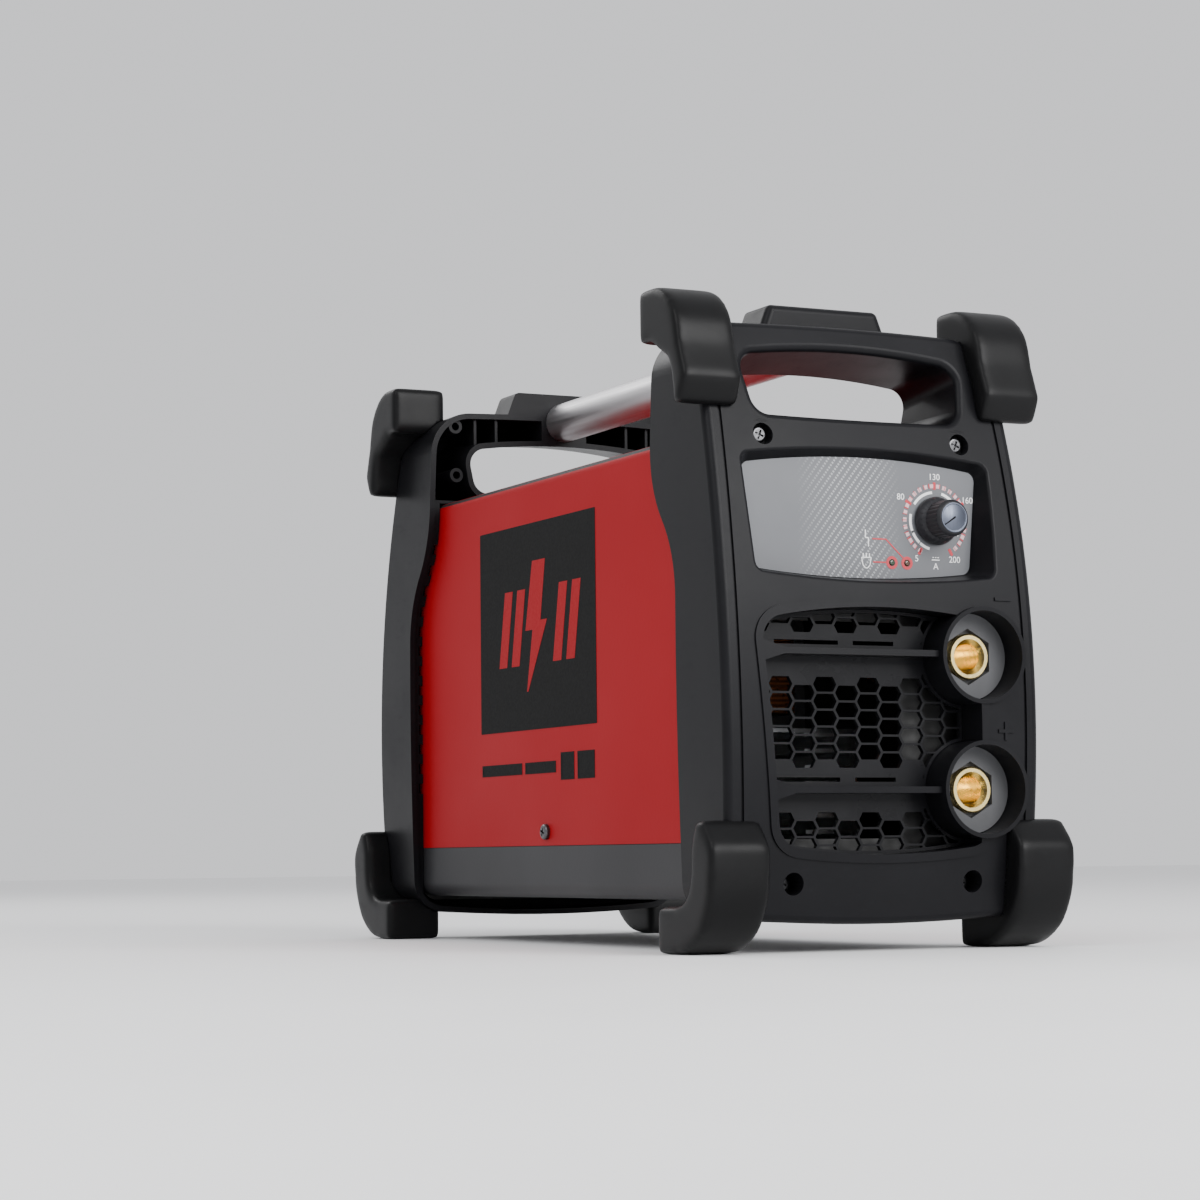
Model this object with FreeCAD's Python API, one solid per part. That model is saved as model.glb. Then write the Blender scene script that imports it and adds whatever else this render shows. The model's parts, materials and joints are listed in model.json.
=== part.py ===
import FreeCAD, Part
import math
import os

# Inverter stick welder, in millimetres.
# X is across the width, with the right hand side of the control panel at +X.
# Y runs from the front, at -Y, to the back.  Z is up, and the bumpers stand on Z = 0.
# The origin is on the floor under the middle of the machine.

os.makedirs("parts", exist_ok=True)
vec = FreeCAD.Vector

# ---------------------------------------------------------------- driving sizes
# overall
half_length = 212.0        # middle of the machine to the foremost point of an end frame
half_width = 84.5          # end frame, at its widest
frame_low = 12.5           # underside of an end frame
frame_top = 295.5          # top of the arch of an end frame
overall_height = 310.0     # top of the upper bumpers
bumper_out = 13.0          # how far the bumpers stand out beyond the sides of a frame

# end frames
face_radius = 556.0        # side view of the bowed face
bow_height = 103.0         # height of the foremost point of the bowed face
wall = 3.0
narrowing_low = 2.5        # the frame is this much narrower each side at its bottom
narrowing_top = 3.5
arch_rise = 2.0            # bow of the top edge
belly_drop = 4.0           # bow of the bottom edge
top_corner = 24.0
low_corner = 18.0
face_round = 4.0           # rounding of the front rim
window_round = 3.0         # rounding of the hand window's front edge
label_round = 1.6          # rounding of the label recess's mouth
frame_depth = 48.0         # foremost point to the rear edge, below the shoulder
arch_reach = 27.0          # extra depth of the frame beside the hand window
shoulder_low = 165.0       # height where the rear edge starts to sweep back
shoulder_high = 240.0
rib_x = (41.0, 54.0)       # upright ribs inside the arch
rib_thick = 1.6
rib_setback = 3.0          # rear edge of the frame to the ribs and bosses
boss_places = ((66.0, 287.0), (65.5, 259.5))
boss_outer = 4.0
boss_bore = 2.2
groove_inset = 7.0         # moulded line beside the rim
groove_width = 1.6
groove_depth = 1.2
bead_width = 4.0
bead_height = 1.0

# hand window
window_low = 249.5
window_high = 287.0        # crown of the window at the face
window_high_back = 276.5   # crown of the window at the back edge
window_half_low = 55.0
window_half_high = 60.0
window_corner = 9.0
window_bow = 5.0

# handle
tube_outer = 22.0
tube_wall = 2.0
tube_height = 292.0        # axis of the tube
tube_end_gap = 60.0        # foremost point of a frame to the end of the tube
tube_fit = 0.10            # radial clearance of the tube in its socket
saddle_half = 32.0         # raised block that takes the tube
saddle_top = 308.0
saddle_setback = 51.0      # foremost point of a frame to the front of the block

# metalwork
cover_half = 76.0          # outside of the cover
cover_sheet = 1.2
cover_top = 242.7
cover_low = 50.8
cover_bend = 5.0
cover_tuck = 7.0           # how far the cover and the tray run inside the frames
tray_sheet = 1.5
tray_low = 24.0
tray_bend = 8.0
seam = 0.3                 # gap between parts that lie side by side
comb_setback = 2.0         # comb inside the rear edge of a frame
comb_thick = 3.0
comb_pitch = 11.1
comb_notch = 5.6
comb_depth = 2.2
comb_low = 84.0
comb_high = 226.0

# panels inside the frames, behind the faces
label_plane = 20.8         # foremost point of the face to the front of the label's seat
seat_floor = 3.0
mesh_plane = 16.0          # foremost point of the face to the front of the mesh
mesh_thick = 2.5
panel_plane = 28.0         # foremost point of the face to the front of the inner panel
panel_sheet = 1.5
panel_half = 71.0
panel_high = 240.5

# control panel
label_half_high = 64.3
label_half_low = 60.3
label_high = 226.5
label_low = 177.5
label_crown = 5.0
label_belly = 3.7
label_thick = 0.8
seat_flare_side = 8.5      # how much the label's recess opens out towards the face
seat_flare_foot = 5.5
seat_flare_top = 12.5
seat_flare_low = 3.5
label_corner = 5.0
knob_x = 41.4
knob_z = 202.6
knob_skirt = 23.0
knob_body = 20.0
knob_nose = 18.0
knob_length = 16.5
knob_gap = 0.6
knob_cap_size = 14.0
knob_flutes = 24
knob_pointer = 236.0       # direction of the pointer, clockwise from the top
shaft_size = 6.0
shaft_fit = 0.06
cap_proud = 0.6            # cap ahead of the knob's nose
cap_seat = 1.6             # depth of the cap's seat
led_size = 3.0
led_x = (17.1, 25.4)
led_z = 182.0

# output sockets
socket_x = 53.5
sign_rise = 27.0           # middle of a polarity sign above its socket
socket_z = (137.5, 74.5)   # minus above, plus below
ring_outer = 23.0          # radius
ring_wall = 2.0
ring_proud = 1.5
disc_plane = 13.0          # foremost point of the face to the front of the insulating disc
disc_thick = 5.0
disc_gap = 0.3
insert_size = 22.0         # outside of the brass
insert_fit = 0.05          # radial clearance round the brass
socket_bore = 13.3
socket_mouth = 16.8
socket_depth = 26.0
insert_length = 36.0
insert_proud = 1.0
hex_flats = 23.4
key_width = 4.0            # keyway of the socket's bore
key_turn = 200.0           # direction of the keyway, clockwise from the top
nut_gap = 3.0              # inner panel to the nut of a socket
nut_thick = 3.5
nut_flats = 28.0
busbar_thick = 3.0
busbar_length = 70.0
busbar_bolt = 7.9
busbar_bolt_flats = 12.0

# intake opening in a face
opening_half = 65.0
opening_top = 152.0
opening_crown = 7.0
opening_low = 49.0
opening_belly = 4.5
opening_half_low = 56.0
opening_corner = 12.0
opening_right = 51.6       # right edge of the front opening, between the two rings
bar_z = (138.0, 74.3)
bar_height = 3.0
bar_flare = 9.0
cell_pitch_x = 11.7
cell_pitch_z = 7.85
cell_point = 1.9           # width of the pointed part of a cell
cell_bar = 1.0
band_half = 8.0            # blank band of the mesh behind each bar
mesh_border = 1.8          # solid rim of a mesh
slot_runs = ((-50.0, -16.0), (-8.0, 14.0))   # long slots above each bar
slot_rise = 4.0
slot_tall = 2.0

# frame screws
screw_high = (53.5, 239.5)
screw_low = (48.0, 31.5)
screw_hole = 3.6
screw_size = 3.5
screw_head = 8.0
screw_head_height = 2.6
screw_recess = 10.4
screw_sink = (6.0, 13.0)   # depth of the seats, above the control panel and at the foot
side_screw_z = 57.8

# corner bumpers
bumper_inner = 66.0        # inner side of each bumper, from the middle
bumper_thick = 13.0        # thickness in front of the face
bumper_seam = 0.06         # gap between a bumper and its frame
bumper_round = 4.5         # rounding of the corners in side view
bumper_round_outer = 4.0   # rounding along the outer side
bumper_round_inner = 3.0   # rounding along the inner side
upper_bumper_low = 251.5
upper_bumper_edge = 264.0  # lower edge of the upright front
upper_bumper_crown = 285.0 # height where the front turns back over the top
upper_bumper_arm = 58.0    # foremost point of a frame to the end of the arm
lower_bumper_out = 9.0     # lower bumpers ahead of the foremost point of a frame
lower_bumper_high = 61.0
lower_bumper_edge = 49.0   # upper edge of the upright front
lower_bumper_turn = 28.0   # height where the front turns back under the foot
lower_bumper_foot = 28.0   # foremost point of a frame to the flat of the foot
lower_bumper_heel = 46.0   # foremost point of a frame to the end of the foot

# fan and back panel
fan_size = 92.0
fan_depth = 25.0
fan_z = 101.0
fan_bore = 88.0
fan_hub = 36.0
fan_tip_gap = 1.5
fan_hole_pitch = 82.5
fan_hole = 4.2
fan_pin = 4.0
fan_blades = 7
blade_turn = 38.0          # blades to the plane of the fan
blade_chord = 22.0
blade_thick = 1.4
switch_x = 36.0
switch_z = 203.0
switch_hole_x = 27.0
switch_hole_z = 21.5
switch_rim = 2.0
rocker_radius = 10.5
rocker_width = 17.0
rocker_gap = 0.35
rocker_tilt = 8.0          # lean of the rocker at rest
rocker_pin = 3.0
rocker_setback = 5.5       # plate to the rocker's pin
gland_x = -36.0
gland_z = 203.0
gland_thread = 20.0
gland_bore = 11.0
gland_flats = 24.0

# power parts
board_low = 36.0           # underside of the power board
board_thick = 1.6
board_half = 66.0
board_front = -150.0
board_back = 110.0
sink_half = 44.0           # outside of the heat sink bases
sink_base = 4.0
sink_fin = 26.0
sink_front = -110.0
sink_back = 40.0
sink_low = 39.0
sink_top = 105.0
fin_count = 9
fin_thick = 2.0
capacitor_size = 30.0
capacitor_tall = 44.0
shelf_thick = 2.0
earth_x = 55.0
earth_y = 140.0
transformer = (-62.0, 28.0, 34.0, 58.0)   # middle, depth, half width and height of the core
choke = (8.0, 22.0, 28.0, 46.0)
limb_share = 0.32          # middle limb of a core, as a share of its width

front = -half_length
y_axis = vec(0, 1, 0)


# ---------------------------------------------------------------- helpers
def block(x0, x1, y0, y1, z0, z1):
    return Part.makeBox(x1 - x0, y1 - y0, z1 - z0, vec(x0, y0, z0))


def rod_y(radius, x, z, y0, y1):
    return Part.makeCylinder(radius, y1 - y0, vec(x, y0, z), y_axis)


def rod_z(radius, x, y, z0, z1):
    return Part.makeCylinder(radius, z1 - z0, vec(x, y, z0), vec(0, 0, 1))


def rod_x(radius, y, z, x0, x1):
    return Part.makeCylinder(radius, x1 - x0, vec(x0, y, z), vec(1, 0, 0))


def cone_y(radius0, radius1, x, z, y0, y1):
    return Part.makeCone(radius0, radius1, y1 - y0, vec(x, y0, z), y_axis)


def hexagon_y(flats, x, z, y0, y1):
    """Hexagonal prism along Y with points up and down."""
    radius = flats / math.sqrt(3)
    points = []
    for side in range(7):
        angle = math.radians(90 + 60 * side)
        points.append(vec(x + radius * math.cos(angle), y0, z + radius * math.sin(angle)))
    return Part.Face(Part.makePolygon(points)).extrude(vec(0, y1 - y0, 0))


def line(a, b):
    return Part.LineSegment(a, b).toShape()


def arc(a, b, c):
    return Part.Arc(a, b, c).toShape()


def fused(shapes):
    result = shapes[0]
    if len(shapes) > 1:
        result = result.multiFuse(shapes[1:])
    return result.removeSplitter()


def mirror_x(shape):
    return shape.mirror(vec(0, 0, 0), vec(1, 0, 0))


def mirror_y(shape):
    return shape.mirror(vec(0, 0, 0), vec(0, 1, 0))


def along_y(edge, length):
    """True for a straight edge that runs along Y for at least this length."""
    ends = [vertex.Point for vertex in edge.Vertexes]
    if len(ends) != 2:
        return False
    step = ends[1] - ends[0]
    return abs(step.x) < 0.01 and abs(step.z) < 0.01 and abs(step.y) >= length


def ring_y(outer, inner, x, z, y0, y1):
    return rod_y(outer, x, z, y0, y1).cut(rod_y(inner, x, z, y0 - 1, y1 + 1))


def save(name, shape):
    """Write one node.  Every node is one or more closed solids."""
    solids = shape.Solids
    if not solids:
        raise ValueError(name + " has no solid")
    for solid in solids:
        if not solid.isValid() or not solid.isClosed() or solid.Volume <= 0:
            raise ValueError(name + " is not a sound solid")
    kept = solids[0] if len(solids) == 1 else Part.makeCompound(solids)
    kept.exportStep("parts/" + name + ".step")


# ---------------------------------------------------------------- end frames
def face_y(z, inset=0.0):
    """Y of the bowed front face at a height, or of a surface this far behind it."""
    radius = face_radius - inset
    return front + face_radius - math.sqrt(radius ** 2 - (z - bow_height) ** 2)


def frame_outline(inset):
    """Front view of an end frame as a prism along Y, with its corners rounded."""
    mid = (frame_low + frame_top) / 2
    low = half_width - narrowing_low - inset
    top = half_width - narrowing_top - inset
    wide = half_width - inset
    z_low = frame_low + inset
    z_top = frame_top - inset
    low_left = vec(-low, front - 40, z_low + belly_drop)
    low_right = vec(low, front - 40, z_low + belly_drop)
    top_left = vec(-top, front - 40, z_top - arch_rise)
    top_right = vec(top, front - 40, z_top - arch_rise)
    edges = [arc(low_left, vec(0, front - 40, z_low), low_right),
             arc(low_right, vec(wide, front - 40, mid), top_right),
             arc(top_right, vec(0, front - 40, z_top), top_left),
             arc(top_left, vec(-wide, front - 40, mid), low_left)]
    prism = Part.Face(Part.Wire(edges)).extrude(vec(0, 160, 0))
    low_edges = [e for e in prism.Edges if along_y(e, 100) and e.CenterOfMass.z < mid]
    prism = prism.makeFillet(low_corner - inset, low_edges)
    top_edges = [e for e in prism.Edges if along_y(e, 100) and e.CenterOfMass.z > mid
                 and abs(abs(e.CenterOfMass.x) - top) < 0.5
                 and abs(e.CenterOfMass.z - z_top + arch_rise) < 0.5]
    return prism.makeFillet(top_corner - inset, top_edges)


def rear_edge(shift):
    """Edges of the frame's rear edge in side view, from the bottom up, moved back by shift."""
    y_low = front + frame_depth + shift
    y_high = y_low + arch_reach
    rise = shoulder_high - shoulder_low
    radius = (arch_reach ** 2 + rise ** 2) / (4 * arch_reach)
    middle = vec(0, (y_low + y_high) / 2, (shoulder_low + shoulder_high) / 2)
    half_turn = math.asin(rise / 2 / radius) / 2
    lower_mid = vec(0, y_low + radius * (1 - math.cos(half_turn)),
                    shoulder_low + radius * math.sin(half_turn))
    upper_mid = vec(0, y_high - radius * (1 - math.cos(half_turn)),
                    shoulder_high - radius * math.sin(half_turn))
    foot = vec(0, y_low, -30)
    bend = vec(0, y_low, shoulder_low)
    knee = vec(0, y_high, shoulder_high)
    head = vec(0, y_high, frame_top + 40)
    return [line(foot, bend), arc(bend, lower_mid, middle), arc(middle, upper_mid, knee),
            line(knee, head)]


def side_profile(inset, shift, reach=0.0):
    """Side view of a frame as a prism along X, from the bowed face to the rear edge."""
    edges = rear_edge(shift)
    foot = edges[0].Vertexes[0].Point
    head = edges[-1].Vertexes[-1].Point
    if reach:
        foot = vec(0, reach, foot.z)
        head = vec(0, reach, head.z)
        edges = [line(foot, head)]
    low_front = vec(0, face_y(foot.z, inset), foot.z)
    top_front = vec(0, face_y(head.z, inset), head.z)
    bow = vec(0, front + inset, bow_height)
    edges = edges + [line(head, top_front), arc(top_front, bow, low_front), line(low_front, foot)]
    profile = Part.Face(Part.Wire(Part.__sortEdges__(edges)))
    profile.translate(vec(-half_width - 20, 0, 0))
    return profile.extrude(vec(2 * half_width + 40, 0, 0))


def slice_face(inset, outset):
    """Layer of the bowed face between two depths, as a prism along X."""
    return side_profile(-outset, 0, reach=0.001).cut(side_profile(inset, 0, reach=0.001))


def barrel_wire(y, half_low_size, half_high_size, z_low, z_high, bow_low, bow_high):
    """Four sided outline at one Y with bowed top and bottom edges."""
    low_left = vec(-half_low_size, y, z_low)
    low_right = vec(half_low_size, y, z_low)
    top_left = vec(-half_high_size, y, z_high)
    top_right = vec(half_high_size, y, z_high)
    return Part.Wire([arc(low_left, vec(0, y, z_low - bow_low), low_right),
                      line(low_right, top_right),
                      arc(top_right, vec(0, y, z_high + bow_high), top_left),
                      line(top_left, low_left)])


def corner_edges(solid):
    """The long edges of a lofted recess, which run from front to back."""
    found = []
    for edge in solid.Edges:
        ends = [vertex.Point for vertex in edge.Vertexes]
        if len(ends) == 2 and abs(ends[0].y - ends[1].y) > 5:
            found.append(edge)
    return found


def window_space(offset):
    """The hand window, or the wall round it when offset is the wall."""
    front_wire = barrel_wire(front - 2, window_half_low + offset, window_half_high + offset,
                             window_low - offset, window_high - window_bow + offset,
                             0.6, window_bow)
    back_wire = barrel_wire(front + 90, window_half_low + offset, window_half_high + offset,
                            window_low - offset, window_high_back - window_bow + offset,
                            0.6, window_bow)
    space = Part.makeLoft([front_wire, back_wire], True, True)
    return space.makeFillet(window_corner + offset, corner_edges(space))


def label_space(offset):
    """Flared recess for the label, from its seat out through the face."""
    seat_y = front + label_plane
    seat_wire = barrel_wire(seat_y, label_half_low + offset, label_half_high + offset,
                            label_low - offset, label_high + offset, label_belly, label_crown)
    mouth_wire = barrel_wire(front, label_half_low + seat_flare_foot + offset,
                             label_half_high + seat_flare_side + offset,
                             label_low - seat_flare_low - offset,
                             label_high + seat_flare_top + offset,
                             label_belly, label_crown)
    space = Part.makeLoft([seat_wire, mouth_wire], True, True)
    return space.makeFillet(label_corner + offset, corner_edges(space))


def opening_space(offset, y0, y1):
    """Intake opening with full width, as a prism along Y."""
    wire = barrel_wire(y0, opening_half_low + offset, opening_half + offset,
                       opening_low - offset, opening_top + offset, opening_belly, opening_crown)
    prism = Part.Face(wire).extrude(vec(0, y1 - y0, 0))
    edges = [e for e in prism.Edges if along_y(e, 1)]
    return prism.makeFillet(opening_corner + offset, edges)


def frame_shell():
    """Hollow moulded frame with its arch, window walls and tube block, before its openings."""
    body = frame_outline(0).common(side_profile(0, 0))
    rim = []
    for edge in body.Edges:
        middle = edge.valueAt((edge.FirstParameter + edge.LastParameter) / 2)
        if abs(middle.y - face_y(middle.z)) < 0.02:
            rim.append(edge)
    body = body.makeFillet(face_round, rim)
    saddle = tube_saddle()
    cavity = frame_outline(wall).common(side_profile(wall, 0, reach=front + 150))
    cavity = cavity.cut(window_space(wall))
    saddle_core = block(-tube_outer / 2 - wall, tube_outer / 2 + wall, front, front + 150,
                        window_high_back - 10, frame_top)
    cavity = cavity.cut(saddle_core)
    cavity = cavity.cut(Part.makeCompound(arch_ribs() + arch_bosses(boss_outer)))
    shell = body.fuse(saddle).cut(cavity)
    shell = shell.cut(Part.makeCompound(arch_bosses(boss_bore)))
    shell = shell.cut(window_space(0))
    shell = shell.makeFillet(window_round, mouth_edges(shell, window_low - 4, window_high + 3))
    groove_ring = frame_outline(groove_inset).cut(frame_outline(groove_inset + groove_width))
    groove = groove_ring.common(slice_face(groove_depth, 5))
    side_zone = block(-half_width, -half_width + 20, front - 10, 0, 30, 262)
    zones = side_zone.fuse(mirror_x(side_zone))
    return shell.cut(groove.common(zones))


def arch_ribs():
    """Upright ribs that stiffen the hollow arch above the hand window."""
    y_end = front + frame_depth + arch_reach - rib_setback
    ribs = []
    for x in rib_x:
        rib = block(x - rib_thick / 2, x + rib_thick / 2, front, y_end, window_high_back - 10, frame_top)
        ribs += [rib, mirror_x(rib)]
    return ribs


def arch_bosses(radius):
    """Round bosses inside the arch, or their blind bores when radius is that of the bore."""
    y_end = front + frame_depth + arch_reach - rib_setback
    depth = wall / 2 if radius == boss_outer else 3 * wall
    bosses = []
    for x, z in boss_places:
        boss = rod_y(radius, x, z, face_y(z) + depth, y_end)
        bosses += [boss, mirror_x(boss)]
    return bosses


def mouth_edges(shell, low, high):
    """Edges where a hole between two heights meets the bowed face."""
    found = []
    for edge in shell.Edges:
        if edge.Length < 1:
            continue
        params = [edge.FirstParameter + share * (edge.LastParameter - edge.FirstParameter)
                  for share in (0.1, 0.5, 0.9)]
        points = [edge.valueAt(param) for param in params]
        on_face = all(abs(point.y - face_y(point.z)) < 0.02 for point in points)
        inside = all(low < point.z < high and abs(point.x) < half_width - 10 for point in points)
        if on_face and inside:
            found.append(edge)
    return found


def tube_saddle():
    """Raised block on the arch that takes the end of the handle tube."""
    y0 = front + saddle_setback
    y1 = front + frame_depth + arch_reach
    base = saddle_half
    points = [vec(-base - 4, y0, frame_top - 3), vec(base + 4, y0, frame_top - 3),
              vec(base - 2, y0, saddle_top), vec(-base + 2, y0, saddle_top),
              vec(-base - 4, y0, frame_top - 3)]
    solid = Part.Face(Part.makePolygon(points)).extrude(vec(0, y1 - y0, 0))
    edges = [e for e in solid.Edges if e.CenterOfMass.z > frame_top and e.CenterOfMass.y < y1 - 1]
    return solid.makeFillet(3.5, edges)


def comb(low, high):
    """Inner lip of a frame that closes on the cover, notched like a comb."""
    lip = side_profile(-5, -comb_setback).cut(side_profile(-5, -comb_setback - comb_thick))
    room = frame_outline(wall).cut(block(-cover_half - seam, cover_half + seam, front - 30, 0,
                                         -10, cover_top + seam))
    lip = lip.common(room)
    lip = lip.common(block(-half_width, half_width, front - 30, 0, tray_low, cover_top + 2))
    count = int((high - low) / comb_pitch)
    notches = []
    for step in range(count + 1):
        z = low + step * comb_pitch
        notch = block(-cover_half - seam - comb_depth, -cover_half - seam + 1, front, 0,
                      z - comb_notch / 2, z + comb_notch / 2)
        notches += [notch, mirror_x(notch)]
    return lip.cut(Part.makeCompound(notches))


def screw_seats(shell):
    """Sunk seats with a boss behind, two above the control panel and two at the foot."""
    for (x, z), sink in zip((screw_high, screw_low), screw_sink):
        for side in (-1, 1):
            seat_y = face_y(z) + sink
            boss = rod_y(screw_recess / 2 + wall - 1, side * x, z, face_y(z) + 1.5,
                         front + panel_plane)
            shell = shell.fuse(boss)
            shell = shell.cut(rod_y(screw_recess / 2, side * x, z, front - 5, seat_y))
            shell = shell.cut(rod_y(screw_hole / 2, side * x, z, seat_y - 1, 0))
    return shell


def label_seat(shell):
    """Deep recess with a flat upright floor for the label."""
    floor_back = front + label_plane + label_thick + seat_floor
    cup = label_space(wall).fuse(label_seat_plate(wall, front + label_plane, floor_back))
    inside = side_profile(wall / 2, 0, reach=floor_back + 0.01)
    shell = shell.fuse(cup.common(inside))
    shell = shell.cut(label_space(0))
    mouth = mouth_edges(shell, label_low - seat_flare_low - 10, label_high + seat_flare_top + 8)
    shell = shell.makeFillet(label_round, mouth)
    return shell.cut(label_seat_plate(0, front + label_plane - 1, front + label_plane + label_thick))


def label_seat_plate(offset, y0, y1):
    """Upright plate with the outline of the label's seat."""
    wire = barrel_wire(y0, label_half_low + offset, label_half_high + offset,
                       label_low - offset, label_high + offset, label_belly, label_crown)
    plate = Part.Face(wire).extrude(vec(0, y1 - y0, 0))
    edges = [e for e in plate.Edges if along_y(e, 0.1)]
    return plate.makeFillet(label_corner + offset, edges)


def front_opening(offset, y0, y1):
    """Intake opening of the front, cut short at the right by the strip between the sockets."""
    space = opening_space(offset, y0, y1)
    return space.cut(block(opening_right + offset, half_width, y0 - 1, y1 + 1, 0, frame_top))


def opening_walls(shell, opening):
    """Bead round an opening, its inner walls and the opening itself."""
    y0 = front - 10
    mesh_back = front + mesh_plane + mesh_thick
    bead = opening(bead_width, y0, front + 20).common(slice_face(wall, bead_height))
    duct = opening(wall, y0, mesh_back).common(side_profile(wall / 2, 0, reach=mesh_back))
    shell = shell.fuse([bead, duct])
    return shell.cut(opening(0, y0, mesh_back + 1))


def socket_cups(shell):
    """Round cups for the output sockets, each with a raised rim and a pierced floor."""
    disc_front = front + disc_plane
    floor_back = disc_front + disc_thick + wall
    rim_front = front - ring_proud
    for z in socket_z:
        shell = shell.fuse(rod_y(ring_outer, socket_x, z, rim_front, floor_back))
        shell = shell.cut(rod_y(ring_outer - ring_wall, socket_x, z, rim_front - 5,
                                disc_front + disc_thick))
        shell = shell.cut(rod_y(insert_size / 2 + 1.5, socket_x, z, front, 0))
    return shell


def mesh_bars():
    """Two horizontal bars in front of the mesh, each flared where it leaves the left wall."""
    bars = []
    y_back = front + mesh_plane
    left = -opening_half - 1
    for z in bar_z:
        inner_left = left + (bar_z[0] - z) * 0.08
        points = [vec(inner_left, front - 3, z - bar_flare / 2),
                  vec(inner_left + 4, front - 3, z - bar_flare / 2),
                  vec(inner_left + 14, front - 3, z - bar_height / 2),
                  vec(socket_x - ring_outer + 1, front - 3, z - bar_height / 2),
                  vec(socket_x - ring_outer + 1, front - 3, z + bar_height / 2),
                  vec(inner_left + 14, front - 3, z + bar_height / 2),
                  vec(inner_left + 4, front - 3, z + bar_flare / 2),
                  vec(inner_left, front - 3, z + bar_flare / 2),
                  vec(inner_left, front - 3, z - bar_flare / 2)]
        bar = Part.Face(Part.makePolygon(points)).extrude(vec(0, y_back - front + 3, 0))
        slope = [vec(0, front + 1.0, 0), vec(14, front + 1.0, 0), vec(14, front - 8, 0),
                 vec(-6, front - 8, 0), vec(-6, front + 7.0, 0), vec(0, front + 5.0, 0)]
        away = Part.Face(Part.makePolygon(slope + [slope[0]])).extrude(vec(0, 0, 2 * bar_flare))
        away.translate(vec(inner_left, 0, z - bar_flare))
        bars.append(bar.cut(away).common(side_profile(1.0, 0)))
    return bars


def make_front_frame():
    shell = label_seat(frame_shell())
    shell = opening_walls(shell, front_opening)
    shell = shell.fuse(mesh_bars())
    shell = socket_cups(shell)
    shell = screw_seats(shell)
    minus_z, plus_z = (z + sign_rise for z in socket_z)
    minus = block(socket_x + 9, socket_x + 18, front - 2, front + 6, minus_z - 0.8, minus_z + 0.8)
    plus_x = socket_x + 11.7
    plus_high = block(plus_x - 0.8, plus_x + 0.8, front - 2, front + 6, plus_z - 4, plus_z + 4.6)
    plus_wide = block(plus_x - 4.2, plus_x + 4.2, front - 2, front + 6, plus_z - 0.5, plus_z + 1.1)
    signs = minus.fuse([plus_high, plus_wide]).common(slice_face(0.2, 0.8))
    shell = shell.fuse(signs)
    seat_back = front + label_plane + label_thick + seat_floor
    shell = shell.cut(rod_y(5.2, knob_x, knob_z, front + label_plane - 1, seat_back + 1))
    for x in led_x:
        shell = shell.cut(rod_y(led_size / 2 + 0.1, x, led_z, front + label_plane - 1, seat_back + 1))
    shell = shell.fuse(comb(comb_low, comb_high))
    return shell.removeSplitter()


def make_rear_frame():
    """Built facing -Y like the front frame, then turned to face +Y."""
    shell = label_seat(frame_shell())
    shell = opening_walls(shell, opening_space)
    shell = screw_seats(shell)
    seat_back = front + label_plane + label_thick + seat_floor
    seat_front = front + label_plane - 1
    shell = shell.cut(block(switch_x - switch_hole_x / 2, switch_x + switch_hole_x / 2, seat_front,
                            seat_back + 1, switch_z - switch_hole_z / 2, switch_z + switch_hole_z / 2))
    shell = shell.cut(rod_y(gland_thread / 2 + 0.15, gland_x, gland_z, seat_front, seat_back + 1))
    shell = shell.fuse(comb(comb_low, comb_high))
    return mirror_y(shell.removeSplitter())


# ---------------------------------------------------------------- bumpers
def bumper_block(edges):
    """Bumper from the edges of its side view at x = 0, rounded all over, over the frame."""
    x1 = half_width + bumper_out
    profile = Part.Face(Part.Wire(edges))
    profile.translate(vec(bumper_inner, 0, 0))
    solid = profile.extrude(vec(x1 - bumper_inner, 0, 0))
    corners = [e for e in solid.Edges if abs(e.CenterOfMass.x - (bumper_inner + x1) / 2) < 0.01]
    solid = solid.makeFillet(bumper_round, corners)
    outer = [e for e in solid.Edges if abs(e.CenterOfMass.x - x1) < 0.01]
    solid = solid.makeFillet(bumper_round_outer, outer)
    inner = [e for e in solid.Edges if abs(e.CenterOfMass.x - bumper_inner) < 0.01]
    return solid.makeFillet(bumper_round_inner, inner).cut(frame_body_space())


def side_lines(points):
    """Straight edges of a side view through points given as (y, z)."""
    corners = [vec(0, y, z) for y, z in points]
    return [line(a, b) for a, b in zip(corners, corners[1:])]


def upper_bumper():
    """Right hand front bumper that wraps the top corner of a frame."""
    top = overall_height
    low = upper_bumper_low
    arm_end = front + upper_bumper_arm
    crown = (face_y(upper_bumper_crown) - bumper_thick, upper_bumper_crown)
    shoulder = (crown[0] + 28, top)
    bow = vec(0, crown[0] + 7.5, crown[1] + 15)
    edge = (face_y(upper_bumper_edge) - bumper_thick, upper_bumper_edge)
    edges = side_lines([shoulder, (arm_end, top), (arm_end, top - 24.5), (arm_end - 22, top - 28.5),
                        (arm_end - 30, top - 36), (arm_end - 35, low + 8), (face_y(low) + 3.5, low),
                        (face_y(low) - 4.5, low), edge, crown])
    edges.append(arc(vec(0, *crown), bow, vec(0, *shoulder)))
    return bumper_block(edges)


def lower_bumper():
    """Right hand front bumper that wraps the bottom corner of a frame."""
    high = lower_bumper_high
    y_front = front - lower_bumper_out
    heel = front + lower_bumper_heel
    foot = front + lower_bumper_foot
    edges = side_lines([(foot, 0), (heel, 0), (heel, 21.5), (heel - 20, 28), (heel - 28, 34),
                        (heel - 33, 43), (front + 7.5, high), (y_front + 10, high),
                        (y_front, lower_bumper_edge), (y_front, lower_bumper_turn)])
    edges.append(arc(vec(0, y_front, lower_bumper_turn), vec(0, y_front + 11, 10), vec(0, foot, 0)))
    return bumper_block(edges)


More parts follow.
